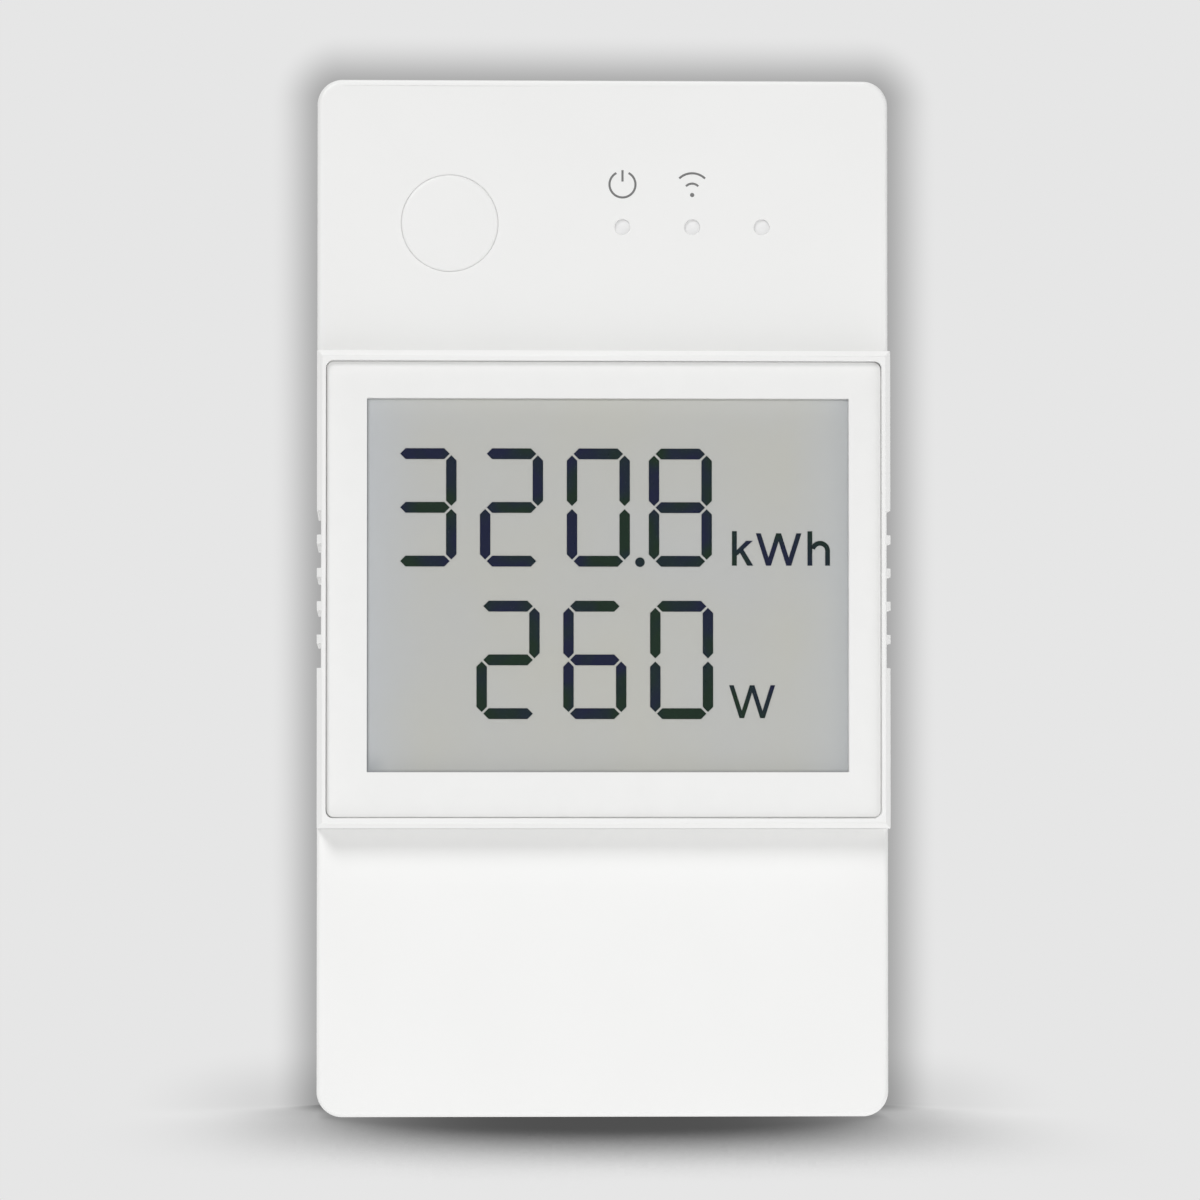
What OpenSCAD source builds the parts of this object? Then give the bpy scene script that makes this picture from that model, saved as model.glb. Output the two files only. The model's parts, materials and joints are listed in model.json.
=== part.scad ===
// Energy monitor for a 35 mm rail: a raised display block, a push button and status lights,
// clamp terminals under a pull-off cover, and a sprung clip on the back.
// X runs across the front, Y from the front to the back, Z up.
// The origin lies under the middle of the bottom end.

/* [Housing] */
// Width across the front
body_w = 54; // [50:0.5:60]
// Height from end to end
body_h = 98; // [94:0.5:104]
// Depth from the display block to the back
body_d = 31; // [28:0.25:34]
// Corner radius seen from the front
corner_r = 2.4; // [1.8:0.1:3.2]
// Thickness of the housing walls
wall = 1.8; // [1.6:0.1:2]
// Depth of the front cover, from the display block to the parting line
cover_d = 12.5; // [12.5:0.1:13.5]
// Radius along the front edges of both ends
edge_r = 0.5; // [0.3:0.05:0.8]
// Radius along the rear edges of the base
rear_edge_r = 0.8; // [0.4:0.1:1.2]
// Height of the tongue that locates the covers on the base
lip_h = 1.5; // [1:0.1:2]
// Thickness of that tongue
lip_t = 0.9; // [0.7:0.05:1.1]
// Clearance round that tongue
lip_gap = 0.1; // [0.05:0.05:0.2]

/* [Display block] */
// Height of the raised display block
block_h = 45; // [42:0.5:48]
// Height of the terminal end below the block
terminal_end_h = 27.2; // [25:0.2:29]
// How far the block stands proud of both ends
block_step = 3.5; // [3:0.1:3.7]
// Chamfer along the front edges of the block
block_chamfer = 0.5; // [0.2:0.1:0.6]
// Width of the rim beside the lens
rim = 0.85; // [0.8:0.05:1.2]
// Width of the rim above and below the lens
rim_end = 1; // [0.8:0.05:1.2]
// Corner radius of the lens
lens_r = 0.7; // [0.4:0.1:1.5]
// Thickness of the lens
lens_t = 1.2; // [1:0.1:1.4]
// How deep the lens lies below the rim
lens_recess = 0.6; // [0.4:0.1:0.8]
// Gap between the lens and the rim
lens_gap = 0.05; // [0.05:0.05:0.2]
// Thickness of the printed mask film behind the lens
film_t = 0.15; // [0.1:0.05:0.3]
// Thickness of the ledge that carries the lens
ledge_t = 1.5; // [1.2:0.1:1.6]
// Printed border left of the window, from the side of the block
border_left = 4.7; // [3.8:0.1:6]
// Printed border right of the window
border_right = 3.9; // [3.8:0.1:6]
// Printed border above the window, from the top of the block
border_top = 4.5; // [3.9:0.1:6]
// Printed border below the window
border_bottom = 5.3; // [5.3:0.1:7]
// Number of grooves on each side of the block
groove_count = 5; // [3:1:6]
// Height of one groove
groove_w = 2.3; // [1.8:0.1:2.6]
// Distance from groove to groove
groove_pitch = 3.13; // [3:0.01:3.4]
// Depth of a groove
groove_depth = 0.4; // [0.2:0.05:0.5]
// Height of the vent slot in each groove
vent_h = 1.1; // [0.8:0.1:1.6]

/* [Display stack] */
// Glass beyond the window on each side
lcd_border = 0.9; // [0.7:0.1:1]
// Extra glass below the window for its contacts
lcd_ledge = 1.5; // [1.3:0.1:1.5]
// Thickness of the display glass
lcd_t = 2.2; // [1.8:0.1:2.4]
// Thickness of the backlight
backlight_t = 3; // [2.6:0.1:3.2]
// Backlight beyond the window on each side
backlight_margin = 0.2; // [0.1:0.1:0.3]
// Wall of the display holder
holder_wall = 0.8; // [0.6:0.1:0.8]
// Thickness of the holder's rear shelf
shelf_t = 1.3; // [1:0.1:1.5]
// Width of the shelf under the backlight
shelf_w = 2; // [1:0.25:3]
// Distance from the ends of the glass to the ends of the contact strip
strip_inset = 3.6; // [3:0.1:6]
// Thickness of the contact strip
strip_t = 1.1; // [0.8:0.1:1.1]
// Fit clearance round the glass and the backlight
stack_fit = 0.15; // [0.1:0.05:0.15]

/* [Button and lights] */
// Diameter of the button
button_d = 8.9; // [8:0.1:9.6]
// Distance from the left side to the middle of the button
button_in = 12.5; // [12:0.1:13]
// How far the button sits below the middle of the upper end
button_below = 0.7; // [0.5:0.1:1.5]
// Gap round the button
button_gap = 0.15; // [0.1:0.05:0.3]
// How far the button stands proud
button_proud = 0.2; // [0.1:0.05:0.5]
// Radius along the front edge of the button
button_edge_r = 0.3; // [0.2:0.05:0.5]
// Travel of the button
button_travel = 0.3; // [0.2:0.05:0.35]
// Width of the button's hidden flange beyond its edge
flange_w = 0.9; // [0.8:0.05:1.2]
// Thickness of that flange
flange_t = 0.8; // [0.6:0.1:0.9]
// Width of the switch under the button
switch_w = 5.2; // [4.6:0.1:6]
// Height of the switch
switch_h = 1.6; // [1.4:0.1:1.7]
// Radius of the switch plunger
plunger_r = 1.5; // [1.1:0.1:1.7]
// Diameter of the light holes
light_d = 1.45; // [1.2:0.05:1.8]
// Distance from the right side to the last light
light_in = 11.95; // [11.5:0.05:12.5]
// Distance from light to light
light_pitch = 6.6; // [6:0.1:6.8]
// How far the lights sit below the middle of the upper end
light_below = 1; // [0.5:0.1:1.5]
// How deep the light guide ends below the surface
light_recess = 0.3; // [0.2:0.05:0.6]
// Thickness of the light guide's carrier
guide_t = 1; // [0.8:0.1:1.2]
// Width of a status light
led_w = 2; // [1.6:0.1:2.2]
// Height of a status light
led_l = 1.25; // [1:0.05:1.4]
// How far a status light stands off its board
led_h = 0.8; // [0.6:0.1:1]

/* [Boards] */
// Thickness of the main board
main_t = 1.6; // [1.2:0.1:1.8]
// Thickness of the control board
control_t = 1.2; // [1:0.1:1.4]
// Gap from the board edges to the walls
board_gap = 0.6; // [0.4:0.1:0.8]
// Height of the posts under the main board
post_h = 1.2; // [1:0.1:1.6]
// Number of pins between the boards
pin_count = 6; // [4:1:6]
// Distance from pin to pin
pin_pitch = 2.54; // [2:0.01:2.6]
// Width of one square pin
pin_w = 0.64; // [0.5:0.02:0.8]
// Height of the pin header on the main board
header_h = 2.5; // [2:0.1:3]
// Gap between that header and its socket on the control board
header_gap = 2.7; // [1.5:0.1:3]
// How far the pins reach out of the header
pin_reach = 5; // [4:0.1:6]
// How far the pins pass through the main board
pin_tail = 0.8; // [0.5:0.1:1]
// Distance from the right side to the middle of the header
header_in = 17; // [16:0.5:20]
// Distance from the display block up to the header
header_up = 6.6; // [5:0.1:7]
// Width of the radio board
radio_w = 16; // [14:0.5:18]
// Length of the radio board
radio_l = 20; // [18:0.5:22]
// Distance from the middle of the block up to the radio board
radio_up = 14; // [10:0.5:14]
// Side of the radio's shield
shield_w = 13; // [12:0.5:13.5]
// Distance from the left side to the display driver
driver_in = 11.4; // [11:0.1:13]
// Distance from the middle of the block up to the display driver
driver_up = 15.6; // [14:0.1:16]
// Width of the display driver
driver_w = 7; // [6:0.5:7]

/* [Terminals] */
// Gap between the terminal block and the guides beside it
terminal_side = 1.8; // [0.6:0.1:3]
// Wall of the terminal block beside the outer poles
block_wall = 1; // [0.8:0.05:1.1]
// Gap between the terminal block and the end wall
terminal_low = 0.4; // [0.3:0.1:0.6]
// Distance from the terminal block up to the display block
terminal_top = 3.2; // [3:0.1:4]
// Gap between the terminal block and the cover in front of it
terminal_front = 0.75; // [0.5:0.05:1]
// Distance from the bottom end to the screws
screw_up = 11; // [10.5:0.1:11.5]
// Gap left for a wire in a closed clamp
wire_least = 1.8; // [1:0.1:2.4]
// Inner width of a clamp
clamp_in_w = 5.4; // [5:0.1:5.6]
// Side and rear wall of a clamp
clamp_wall = 0.8; // [0.7:0.05:0.9]
// Threaded front wall of a clamp
clamp_nut_t = 1.6; // [1.4:0.1:1.8]
// Length of a clamp along the wire
clamp_l = 9; // [8:0.1:9.4]
// Radius of a terminal screw's shank
shank_r = 1.75; // [1.5:0.05:1.9]
// Radius of a terminal screw's head
head_r = 2.5; // [2.3:0.05:2.8]
// Height of a terminal screw's head
head_h = 1.7; // [1.4:0.1:1.8]
// Thickness of the contact bars
bar_t = 1; // [0.8:0.1:1.1]
// Gap between a contact bar and the inside of its clamp
bar_gap = 0.2; // [0.15:0.05:0.3]
// Clearance round the moving terminal parts
run_gap = 0.3; // [0.2:0.05:0.35]

/* [Terminal cover] */
// Seam between the terminal cover and its neighbours
cover_gap = 0.15; // [0.1:0.05:0.25]
// Width of a tongue that holds a cover in the base
tongue_w = 10; // [8:0.5:12]
// Thickness of a tongue
tongue_t = 0.9; // [0.7:0.05:1]
// How far the tongues of the terminal cover reach into the base
tongue_l = 5; // [4:0.25:5.5]
// Distance from the bottom end to those tongues
tongue_up = 8; // [7:0.25:9]

/* [Rail and clip] */
// Width of the rail
rail_w = 35; // [35:0.05:35.3]
// Play of the rail in the recess on each side
rail_play = 0.3; // [0.2:0.05:0.5]
// Depth of the recess for the rail
rail_depth = 4.5; // [4.2:0.1:5]
// Slot behind the hooks for the edge of the rail
rail_slot = 1.3; // [1.2:0.05:1.4]
// How far the fixed hook reaches over the rail
hook_reach = 1.2; // [1:0.1:1.5]
// Width of the rail clip
clip_w = 12; // [11:0.25:14]
// Thickness of the rail clip
clip_t = 2.5; // [2.4:0.05:2.7]
// Width of the clip's side wings
clip_wing = 1.5; // [1:0.1:2]
// Travel of the clip
clip_travel = 4; // [3:0.1:4.5]
// What is left below the clip when it is pulled down
clip_end_gap = 0.2; // [0.1:0.1:0.6]
// Mean radius of the clip spring
spring_r = 1; // [0.9:0.02:1.02]
// Wire radius of the clip spring
wire_r = 0.2; // [0.16:0.02:0.22]
// Turns of the clip spring
spring_turns = 8; // [6:1:9]
// Length of the clip spring as fitted
spring_l = 10; // [9.5:0.1:11]
// Room round the spring in the clip
spring_room = 0.5; // [0.3:0.1:0.6]
// Clearance round the sliding clip
clip_gap = 0.2; // [0.15:0.05:0.25]

/* [Fasteners] */
// Radius of a housing screw
case_screw_r = 1.4; // [1.2:0.05:1.5]
// Length of a housing screw under its head
case_screw_l = 10; // [9:0.25:10.5]
// Radius of a housing screw's head
case_head_r = 2.4; // [2.2:0.05:2.5]
// Height of a housing screw's head
case_head_h = 1.6; // [1.4:0.1:2]
// Distance from the side wall to the housing screws
case_screw_in = 3; // [2.9:0.1:3.4]
// Distance from the top end to the housing screws
case_screw_drop = 5.6; // [5.4:0.1:6.4]
// Distance from the parting line back to the seat of their heads
case_seat = 5; // [4:0.25:6]
// Radius of the small board screws
board_screw_r = 1; // [0.9:0.05:1.1]
// Radius of the heads of the board screws
board_head_r = 1.9; // [1.7:0.05:2]
// Height of the heads of the board screws
board_head_h = 1.2; // [1:0.1:1.4]
// How far the main board's screws reach into their posts
board_bite = 4; // [3:0.25:5]
// How far the control board's screws reach into their posts
control_bite = 2; // [1.5:0.1:2.4]
// Distance from the side wall to the board screws
board_screw_in = 3.4; // [3:0.1:3.6]
// Distance from the display block up to the control board's screws
control_screw_up = 3.4; // [3:0.1:4]
// Radius of the posts that take the board screws
board_post_r = 2.2; // [2:0.05:2.3]
// Clearance of a screw in its hole
screw_fit = 0.05; // [0.03:0.01:0.1]

/* [Power parts] */
// Width of the relay
relay_w = 12.5; // [11:0.1:12.6]
// Gap between the tall parts on the main board and the control board
part_clear = 2; // [1.5:0.1:3]
// Gap between neighbouring parts on the main board
part_gap = 1.2; // [0.8:0.1:1.4]
// Distance from the display block up to the first row of parts
first_row = 6.4; // [6.2:0.1:7]
// Distance from row to row
row_pitch = 10.6; // [10.4:0.1:11]
// Length of the relay
relay_l = 28.5; // [26:0.1:29]
// Width of the transformer core
core_w = 10.4; // [10:0.1:11]
// Length of the transformer core
core_l = 11; // [10:0.1:12]
// Width of the core's middle leg
core_leg = 2.6; // [2.2:0.1:2.8]
// Wall of the transformer bobbin
bobbin_wall = 0.5; // [0.4:0.05:0.6]
// Depth of the winding on the bobbin
coil_t = 1.7; // [1.4:0.1:1.8]
// Radius of a filter capacitor
can_r = 4; // [3.5:0.1:4.2]
// Thickness of the safety capacitor
film_cap_t = 5.5; // [5:0.1:6]
// Width of the safety capacitor
film_cap_w = 13; // [11:0.1:13.2]
// Length of the varistor's leads above the board
varistor_lead = 0.8; // [0.6:0.1:1.2]
// Thickness of the varistor disc
varistor_t = 4; // [3.4:0.1:4.4]
// Width of the fuse
fuse_w = 4.3; // [4:0.1:4.6]
// Length of the fuse
fuse_l = 8.4; // [8:0.1:8.8]
// Height of the fuse
fuse_h = 7; // [6:0.1:8]
// Length of the current shunt
shunt_l = 13; // [12:0.1:14]
// Width of the current shunt
shunt_w = 3; // [2.4:0.1:3.2]
// Thickness of the current shunt
shunt_t = 1.2; // [1:0.1:1.4]
// Gap under the shunt
shunt_rise = 1; // [0.8:0.1:1.4]
// Width of the metering chip and the rectifier
chip_w = 4; // [3.6:0.1:4.4]
// Length of the metering chip
meter_l = 10; // [8:0.5:10]
// Length of the rectifier
rectifier_l = 4.7; // [4:0.1:5]
// Height of the rectifier
rectifier_h = 2.4; // [2:0.1:2.8]
// Height of the flat chips
chip_h = 1.6; // [1.2:0.1:1.8]

/* [Hidden] */
$fn = 72;
// How far a cutter passes the face that it cuts
past = 0.5;
// How far a rib or boss is rooted in the wall that carries it
root = 0.6;

// Depth levels of the housing, front to back
front_y = -body_d / 2;
back_y = body_d / 2;
parting_y = front_y + cover_d;
shoulder_y = front_y + block_step;
shoulder_in_y = shoulder_y + wall;
rail_y = back_y - rail_depth;
floor_y = rail_y - wall;
lip_root_y = parting_y - lip_h - 3 * lip_gap;

// Depth levels of the display stack
lens_y = front_y + lens_recess;
film_y = lens_y + lens_t;
pocket_y = film_y + film_t;
ledge_y = pocket_y + ledge_t;
glass_gap = 0.05;
lcd_y = pocket_y + glass_gap;
lcd_back_y = lcd_y + lcd_t;
backlight_back_y = lcd_back_y + backlight_t;
control_y = backlight_back_y + shelf_t;
control_back_y = control_y + control_t;

// Depth levels of the main board and the wire clamps, worked out from the back
main_back_y = floor_y - post_h;
main_y = main_back_y - main_t;
board_room = main_y - control_back_y;
block_floor_t = 0.8;
block_floor_y = main_y - block_floor_t;
clamp_back_y = block_floor_y - run_gap;
wire_back_y = clamp_back_y - clamp_wall;
// Screw heads and their ledge, worked out from the cover
well_margin = 0.3;
head_seat = 0.05;
ledge_web = 0.9;
block_y = shoulder_in_y + terminal_front;
head_y = block_y + well_margin;
head_back_y = head_y + head_h;
ledge_front_y = head_back_y + head_seat;
ledge_back_y = ledge_front_y + ledge_web;
// The depth left between them is shared by the wire and the travel of the clamp
wire_gap = (wire_back_y - ledge_back_y - 2 * run_gap - clamp_nut_t - bar_t + wire_least) / 2;
clamp_travel = wire_gap - wire_least;
clamp_y = ledge_back_y + run_gap + clamp_travel;
clamp_nut_back_y = clamp_y + clamp_nut_t;
bar_y = clamp_nut_back_y + run_gap;
bar_back_y = bar_y + bar_t;

// Widths and heights of the housing
half_w = body_w / 2;
inner_w = half_w - wall;
block_z = terminal_end_h;
block_top = block_z + block_h;
block_mid = block_z + block_h / 2;
lens_x = [rim - half_w, half_w - rim];
lens_z = [block_z + rim_end, block_top - rim_end];
window_x = [border_left - half_w, half_w - border_right];
window_z = [block_z + border_bottom, block_top - border_top];
lcd_x = grow(window_x, lcd_border);
lcd_z = [window_z[0] - lcd_border - lcd_ledge, window_z[1] + lcd_border];
backlight_x = grow(window_x, backlight_margin);
backlight_z = grow(window_z, backlight_margin);
strip_x = grow(lcd_x, -strip_inset);
strip_z = [lcd_z[0] + stack_fit, lcd_z[0] + stack_fit + strip_t];
groove_z = block_mid - ((groove_count - 1) * groove_pitch + groove_w) / 2;

// Places of the button, the lights and the switch
button_x = button_in - half_w;
upper_mid = (block_top + body_h) / 2;
button_z = upper_mid - button_below;
light_x = [for (i = [0:2]) half_w - light_in - (2 - i) * light_pitch];
light_z = upper_mid - light_below;
light_r = light_d / 2;
guide_fit = 0.05;
switch_floor = 0.3;
flange_seat = 0.1;
flange_y = shoulder_in_y + flange_seat;
flange_back_y = flange_y + flange_t;
switch_y = control_y - switch_h;

// Rail recess, fixed hook and clip
rail_low = block_mid - rail_w / 2 - rail_play;
rail_high = block_mid + rail_w / 2 + rail_play;
hook_y = rail_y + rail_slot;
clip_y = hook_y;
clip_back_y = clip_y + clip_t;
wing_back_y = clip_y + clip_t / 2;
clip_up = clip_travel + clip_end_gap;
clip_bite = 1;
clip_top = rail_low + rail_play + clip_bite;
channel_half = clip_w / 2 + clip_gap;
spring_y = (clip_y + clip_back_y) / 2;
pull_web = 1.2;
pull_h = 1.8;
stop_web = 1.6;
stop_gap = 0.1;
pull_z = clip_up + pull_web;
stop_z = pull_z + pull_h + stop_web + stop_gap;
stop_h = 1.6;
spring_z = stop_z + stop_h;
spring_top = spring_z + spring_l;
slot_half = spring_r + wire_r + spring_room;

// Boards and their screws
board_half = inner_w - board_gap;
main_z = [wall + board_gap, body_h - wall - board_gap];
tongue_gap = 0.15;
tongue_x = [inner_w - tongue_gap - tongue_t, inner_w - tongue_gap];
control_half = tongue_x[0] - 2 * tongue_gap;
control_z = [block_z + wall + board_gap, body_h - wall - board_gap];
board_screw_x = inner_w - board_screw_in;
upper_post_gap = 1;
main_screw_z = [rail_low - wall - board_post_r, rail_high + wall + board_post_r + upper_post_gap];
case_screw_x = inner_w - case_screw_in;
case_screw_z = body_h - case_screw_drop;
case_post_wall = 1;
case_post_r = case_head_r + case_post_wall;
case_boss_wall = 1.2;
case_boss_r = case_screw_r + case_boss_wall;
case_seat_y = parting_y + case_seat;
control_screw_z = block_top + control_screw_up;
bore_end = 0.4;

// Terminals
guide_wall = 0.9;
guide_x = tongue_x[0] - tongue_gap - guide_wall;
terminal_half = guide_x - terminal_side;
terminal_z = [wall + terminal_low, block_z - terminal_top];
clamp_half = clamp_in_w / 2 + clamp_wall;
chamber_half = clamp_half + run_gap;
pole_pitch = (terminal_half - chamber_half - block_wall) / 1.5;
pole_x = [for (i = [0:3]) (i - 1.5) * pole_pitch];
clamp_z = screw_up - clamp_l / 2;
chamber_top = clamp_z + clamp_l + run_gap;
bar_half = clamp_in_w / 2 - bar_gap;
bar_in = 1;
bar_end = 2.4;
bar_z = [terminal_z[0] + bar_in, terminal_z[1] - bar_end];
leg_half = 1;
leg_t = 1.2;
bar_fit = 0.05;
leg_out = 1;

// Tongues of the covers and the pockets that take them
snap_up = 6;
snap_z = block_z + snap_up;
snap_w = 8;
snap_l = 4.5;
snap_bump = 0.4;
snap_bump_l = 1.2;
guide_floor = 1;
guide_l = tongue_l + guide_floor;

// Places of the inner parts on their boards, as X and Z of their middles
relay_in = 2.4;
screw_clear = 0.6;
shunt_gap = 0.4;
part_edge = board_screw_x - board_head_r - part_gap;
row_z = [for (i = [0:3]) block_z + first_row + i * row_pitch];
relay_z = main_screw_z[0] + board_head_r + screw_clear;
relay_at = [relay_in + relay_w / 2 - board_half, relay_z + relay_l / 2];
relay_edge = relay_at[0] + relay_w / 2;
fuse_at = [part_edge - fuse_w / 2, row_z[0]];
varistor_at = [part_edge - fuse_w - part_gap - varistor_t / 2, row_z[0]];
film_cap_at = [(relay_edge + varistor_at[0] - varistor_t / 2) / 2, row_z[0]];
can_at = [for (i = [1, 2]) [part_edge - can_r, row_z[i]]];
core_at = [(relay_edge + part_edge - 2 * can_r) / 2, row_z[1]];
rectifier_at = [core_at[0], row_z[2]];
meter_at = [core_at[0], row_z[3]];
shunt_at = [(pole_x[0] + pole_x[1]) / 2, terminal_z[1] + shunt_gap + shunt_w / 2];
header_at = [half_w - header_in, block_top + header_up];
radio_at = [0, block_mid + radio_up];
driver_at = [driver_in - half_w, block_mid + driver_up];
radio_t = 0.8;
shield_drop = 2;
shield_h = 2;
shield_wall = 0.2;
part_h = board_room - part_clear;
socket_h = board_room - header_h - header_gap;
socket_floor = 0.8;

function grow(span, by) = [span[0] - by, span[1] + by];
function about(middle, size) = [middle - size / 2, middle + size / 2];

// A box between three pairs of limits
module slab(x, y, z) {
  translate([x[0], y[0], z[0]]) cube([x[1] - x[0], y[1] - y[0], z[1] - z[0]]);
}

// A round bar along Y
module rod(x, z, r, y) {
  translate([x, y[1], z]) rotate([90, 0, 0]) cylinder(r = r, h = y[1] - y[0]);
}

// A front view carried through the depth y
module plate(y) {
  translate([0, y[1], 0]) rotate([90, 0, 0]) linear_extrude(y[1] - y[0]) children();
}

// A side view carried across the width x
module across(x) {
  translate([x[0], 0, 0]) rotate([90, 0, 90]) linear_extrude(x[1] - x[0]) children();
}

// A rectangle with round corners
module round_rect(x, z, r) {
  translate([x[0] + r, z[0]]) square([x[1] - x[0] - 2 * r, z[1] - z[0]]);
  translate([x[0], z[0] + r]) square([x[1] - x[0], z[1] - z[0] - 2 * r]);
  for (cx = [x[0] + r, x[1] - r], cz = [z[0] + r, z[1] - r])
    translate([cx, cz]) circle(r);
}

// The shape and its mirror image on the other side
module both_sides() {
  children();
  mirror([1, 0, 0]) children();
}

// The shape and its mirror image at the other end
module both_ends() {
  children();
  mirror([0, 1, 0]) children();
}

// Half section, w wide and h high, with its upper outer edge rounded
module edge_profile(w, h, r) {
  square([w - r, h]);
  square([w, h - r]);
  translate([w - r, h - r]) circle(r);
}

// Front outline of the housing, drawn in by an inset
module outline(inset = 0) {
  round_rect([inset - half_w, half_w - inset], [inset, body_h - inset], max(corner_r - inset, 0.5));
}

// Locating tongue round the parting line, grown by a gap where it is cut from a cover
module lip(gap = 0) {
  plate([parting_y - lip_h - gap, parting_y + root])
    difference() {
      outline(wall - lip_t - gap);
      outline(wall + gap);
    }
}

// The housing's outline carried up to the height h, its upper edge rounded all the way round
module rounded_plate(h, r) {
  run_x = half_w - corner_r;
  run_z = body_h / 2 - corner_r;
  translate([0, body_h / 2, 0])
    both_sides() both_ends() {
      cube([run_x, run_z, h]);
      translate([run_x, run_z, 0]) rotate([90, 0, 0]) linear_extrude(run_z) edge_profile(corner_r, h, r);
      translate([0, run_z, 0]) rotate([90, 0, 90]) linear_extrude(run_x) edge_profile(corner_r, h, r);
      translate([run_x, run_z, 0]) rotate_extrude(angle = 90) edge_profile(corner_r, h, r);
    }
}

// The housing in front of the depth back within the heights z, out to the shoulder
module shoulder(z, back) {
  intersection() {
    translate([0, back, 0]) rotate([90, 0, 0]) rounded_plate(back - shoulder_y, edge_r);
    slab([-body_w, body_w], [front_y, back_y], z);
  }
}

// The raised block with its chamfered front edges
module display_block() {
  c = block_chamfer;
  intersection() {
    across([-half_w, half_w])
      polygon([
        [parting_y, block_z], [front_y + c, block_z], [front_y, block_z + c],
        [front_y, block_top - c], [front_y + c, block_top], [parting_y, block_top]
      ]);
    linear_extrude(body_h)
      polygon([
        [-half_w, parting_y], [-half_w, front_y + c], [c - half_w, front_y],
        [half_w - c, front_y], [half_w, front_y + c], [half_w, parting_y]
      ]);
  }
}

// Hollow of the front cover behind the block and the upper end
module front_hollow() {
  slab([-inner_w, inner_w], [ledge_y, parting_y + past], [block_z + wall, block_top - wall]);
  intersection() {
    plate([shoulder_in_y, parting_y + past]) outline(wall);
    slab([-body_w, body_w], [front_y, back_y], [block_z + wall, body_h]);
  }
}

// Foot of groove i on the sides of the block
function groove_foot(i) = groove_z + i * groove_pitch;

// Grooves across both sides of the housing, over the depths y
module side_grooves(y) {
  both_sides()
    for (i = [0 : groove_count - 1])
      slab([half_w - groove_depth, half_w + past], y, [groove_foot(i), groove_foot(i) + groove_w]);
}

// Vent slots through the cover's side walls, one in each groove
module side_vents() {
  both_sides()
    for (i = [0 : groove_count - 1])
      slab([inner_w - past, half_w + past], [ledge_y, lip_root_y],
           about(groove_foot(i) + groove_w / 2, vent_h));
}

// A tongue beside the wall, rooted in the wall from y0 to y_root and free from there to y1
module side_tongue(y0, y_root, y1, z) {
  slab([tongue_x[0], inner_w + root], [y0, y_root], z);
  slab(tongue_x, [y0, y1], z);
}

module front_cover() color("white") {
  difference() {
    union() {
      difference() {
        union() {
          shoulder([block_z, body_h + past], parting_y);
          display_block();
        }
        front_hollow();
      }
      both_sides() {
        rod(case_screw_x, case_screw_z, case_boss_r, [shoulder_in_y - root, parting_y]);
        rod(board_screw_x, control_screw_z, board_post_r, [shoulder_in_y - root, control_y]);
      }
    }
    plate([front_y - past, pocket_y]) round_rect(lens_x, lens_z, lens_r);
    slab(grow(lcd_x, 2 * stack_fit), [pocket_y - past, ledge_y + past], grow(lcd_z, 2 * stack_fit));
    rod(button_x, button_z, button_d / 2 + button_gap, [shoulder_y - past, shoulder_in_y + past]);
    for (x = light_x)
      rod(x, light_z, light_r, [shoulder_y - past, shoulder_in_y + past]);
    side_grooves([front_y - past, parting_y + past]);
    side_vents();
    lip(lip_gap);
    both_sides() {
      rod(case_screw_x, case_screw_z, case_screw_r + screw_fit,
          [case_seat_y - case_screw_l - 2 * screw_fit, parting_y + past]);
      rod(board_screw_x, control_screw_z, board_screw_r + screw_fit,
          [shoulder_in_y + bore_end, control_y + past]);
    }
  }
  both_sides() {
    side_tongue(control_y + tongue_gap, lip_root_y, parting_y + snap_l, [snap_z, snap_z + snap_w]);
    slab([tongue_x[0], inner_w + snap_bump],
         [parting_y + snap_l - snap_bump_l, parting_y + snap_l], [snap_z, snap_z + snap_w]);
  }
}

// Hollow of the rear base, deeper beside the rail recess and the clip
module base_hollow() {
  plate([parting_y - past, floor_y]) outline(wall);
  slab([-inner_w, inner_w], [floor_y - past, back_y - wall], [rail_high + wall, body_h - wall]);
  both_sides()
    slab([channel_half + wall, inner_w], [floor_y - past, back_y - wall], [wall, rail_low - wall]);
}

// Recess across the back for the rail, with the fixed hook at its upper edge
module rail_recess() {
  across([-half_w - past, half_w + past])
    polygon([
      [rail_y, rail_low], [rail_y, rail_high], [hook_y, rail_high],
      [hook_y, rail_high - hook_reach], [back_y + past, rail_high - hook_reach / 2],
      [back_y + past, rail_low]
    ]);
}

// Channel for the clip: wide for its wings, narrower between the lips that hold them
module clip_channel() {
  slab([-channel_half, channel_half], [clip_y - clip_gap, wing_back_y + clip_gap], [-past, rail_low + past]);
  slab(grow([clip_wing - clip_w / 2, clip_w / 2 - clip_wing], clip_gap),
       [clip_y, back_y + past], [-past, rail_low + past]);
}

// Pocket beside the wall that guides a tongue of the terminal cover
module tongue_guide() {
  z = [tongue_up, tongue_up + tongue_w];
  difference() {
    slab([guide_x, inner_w + root],
         [parting_y + lip_gap, parting_y + guide_l], grow(z, tongue_gap + guide_wall));
    slab([tongue_x[0] - tongue_gap, inner_w],
         [parting_y - past, parting_y + tongue_l + tongue_gap], grow(z, tongue_gap));
  }
}

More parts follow.
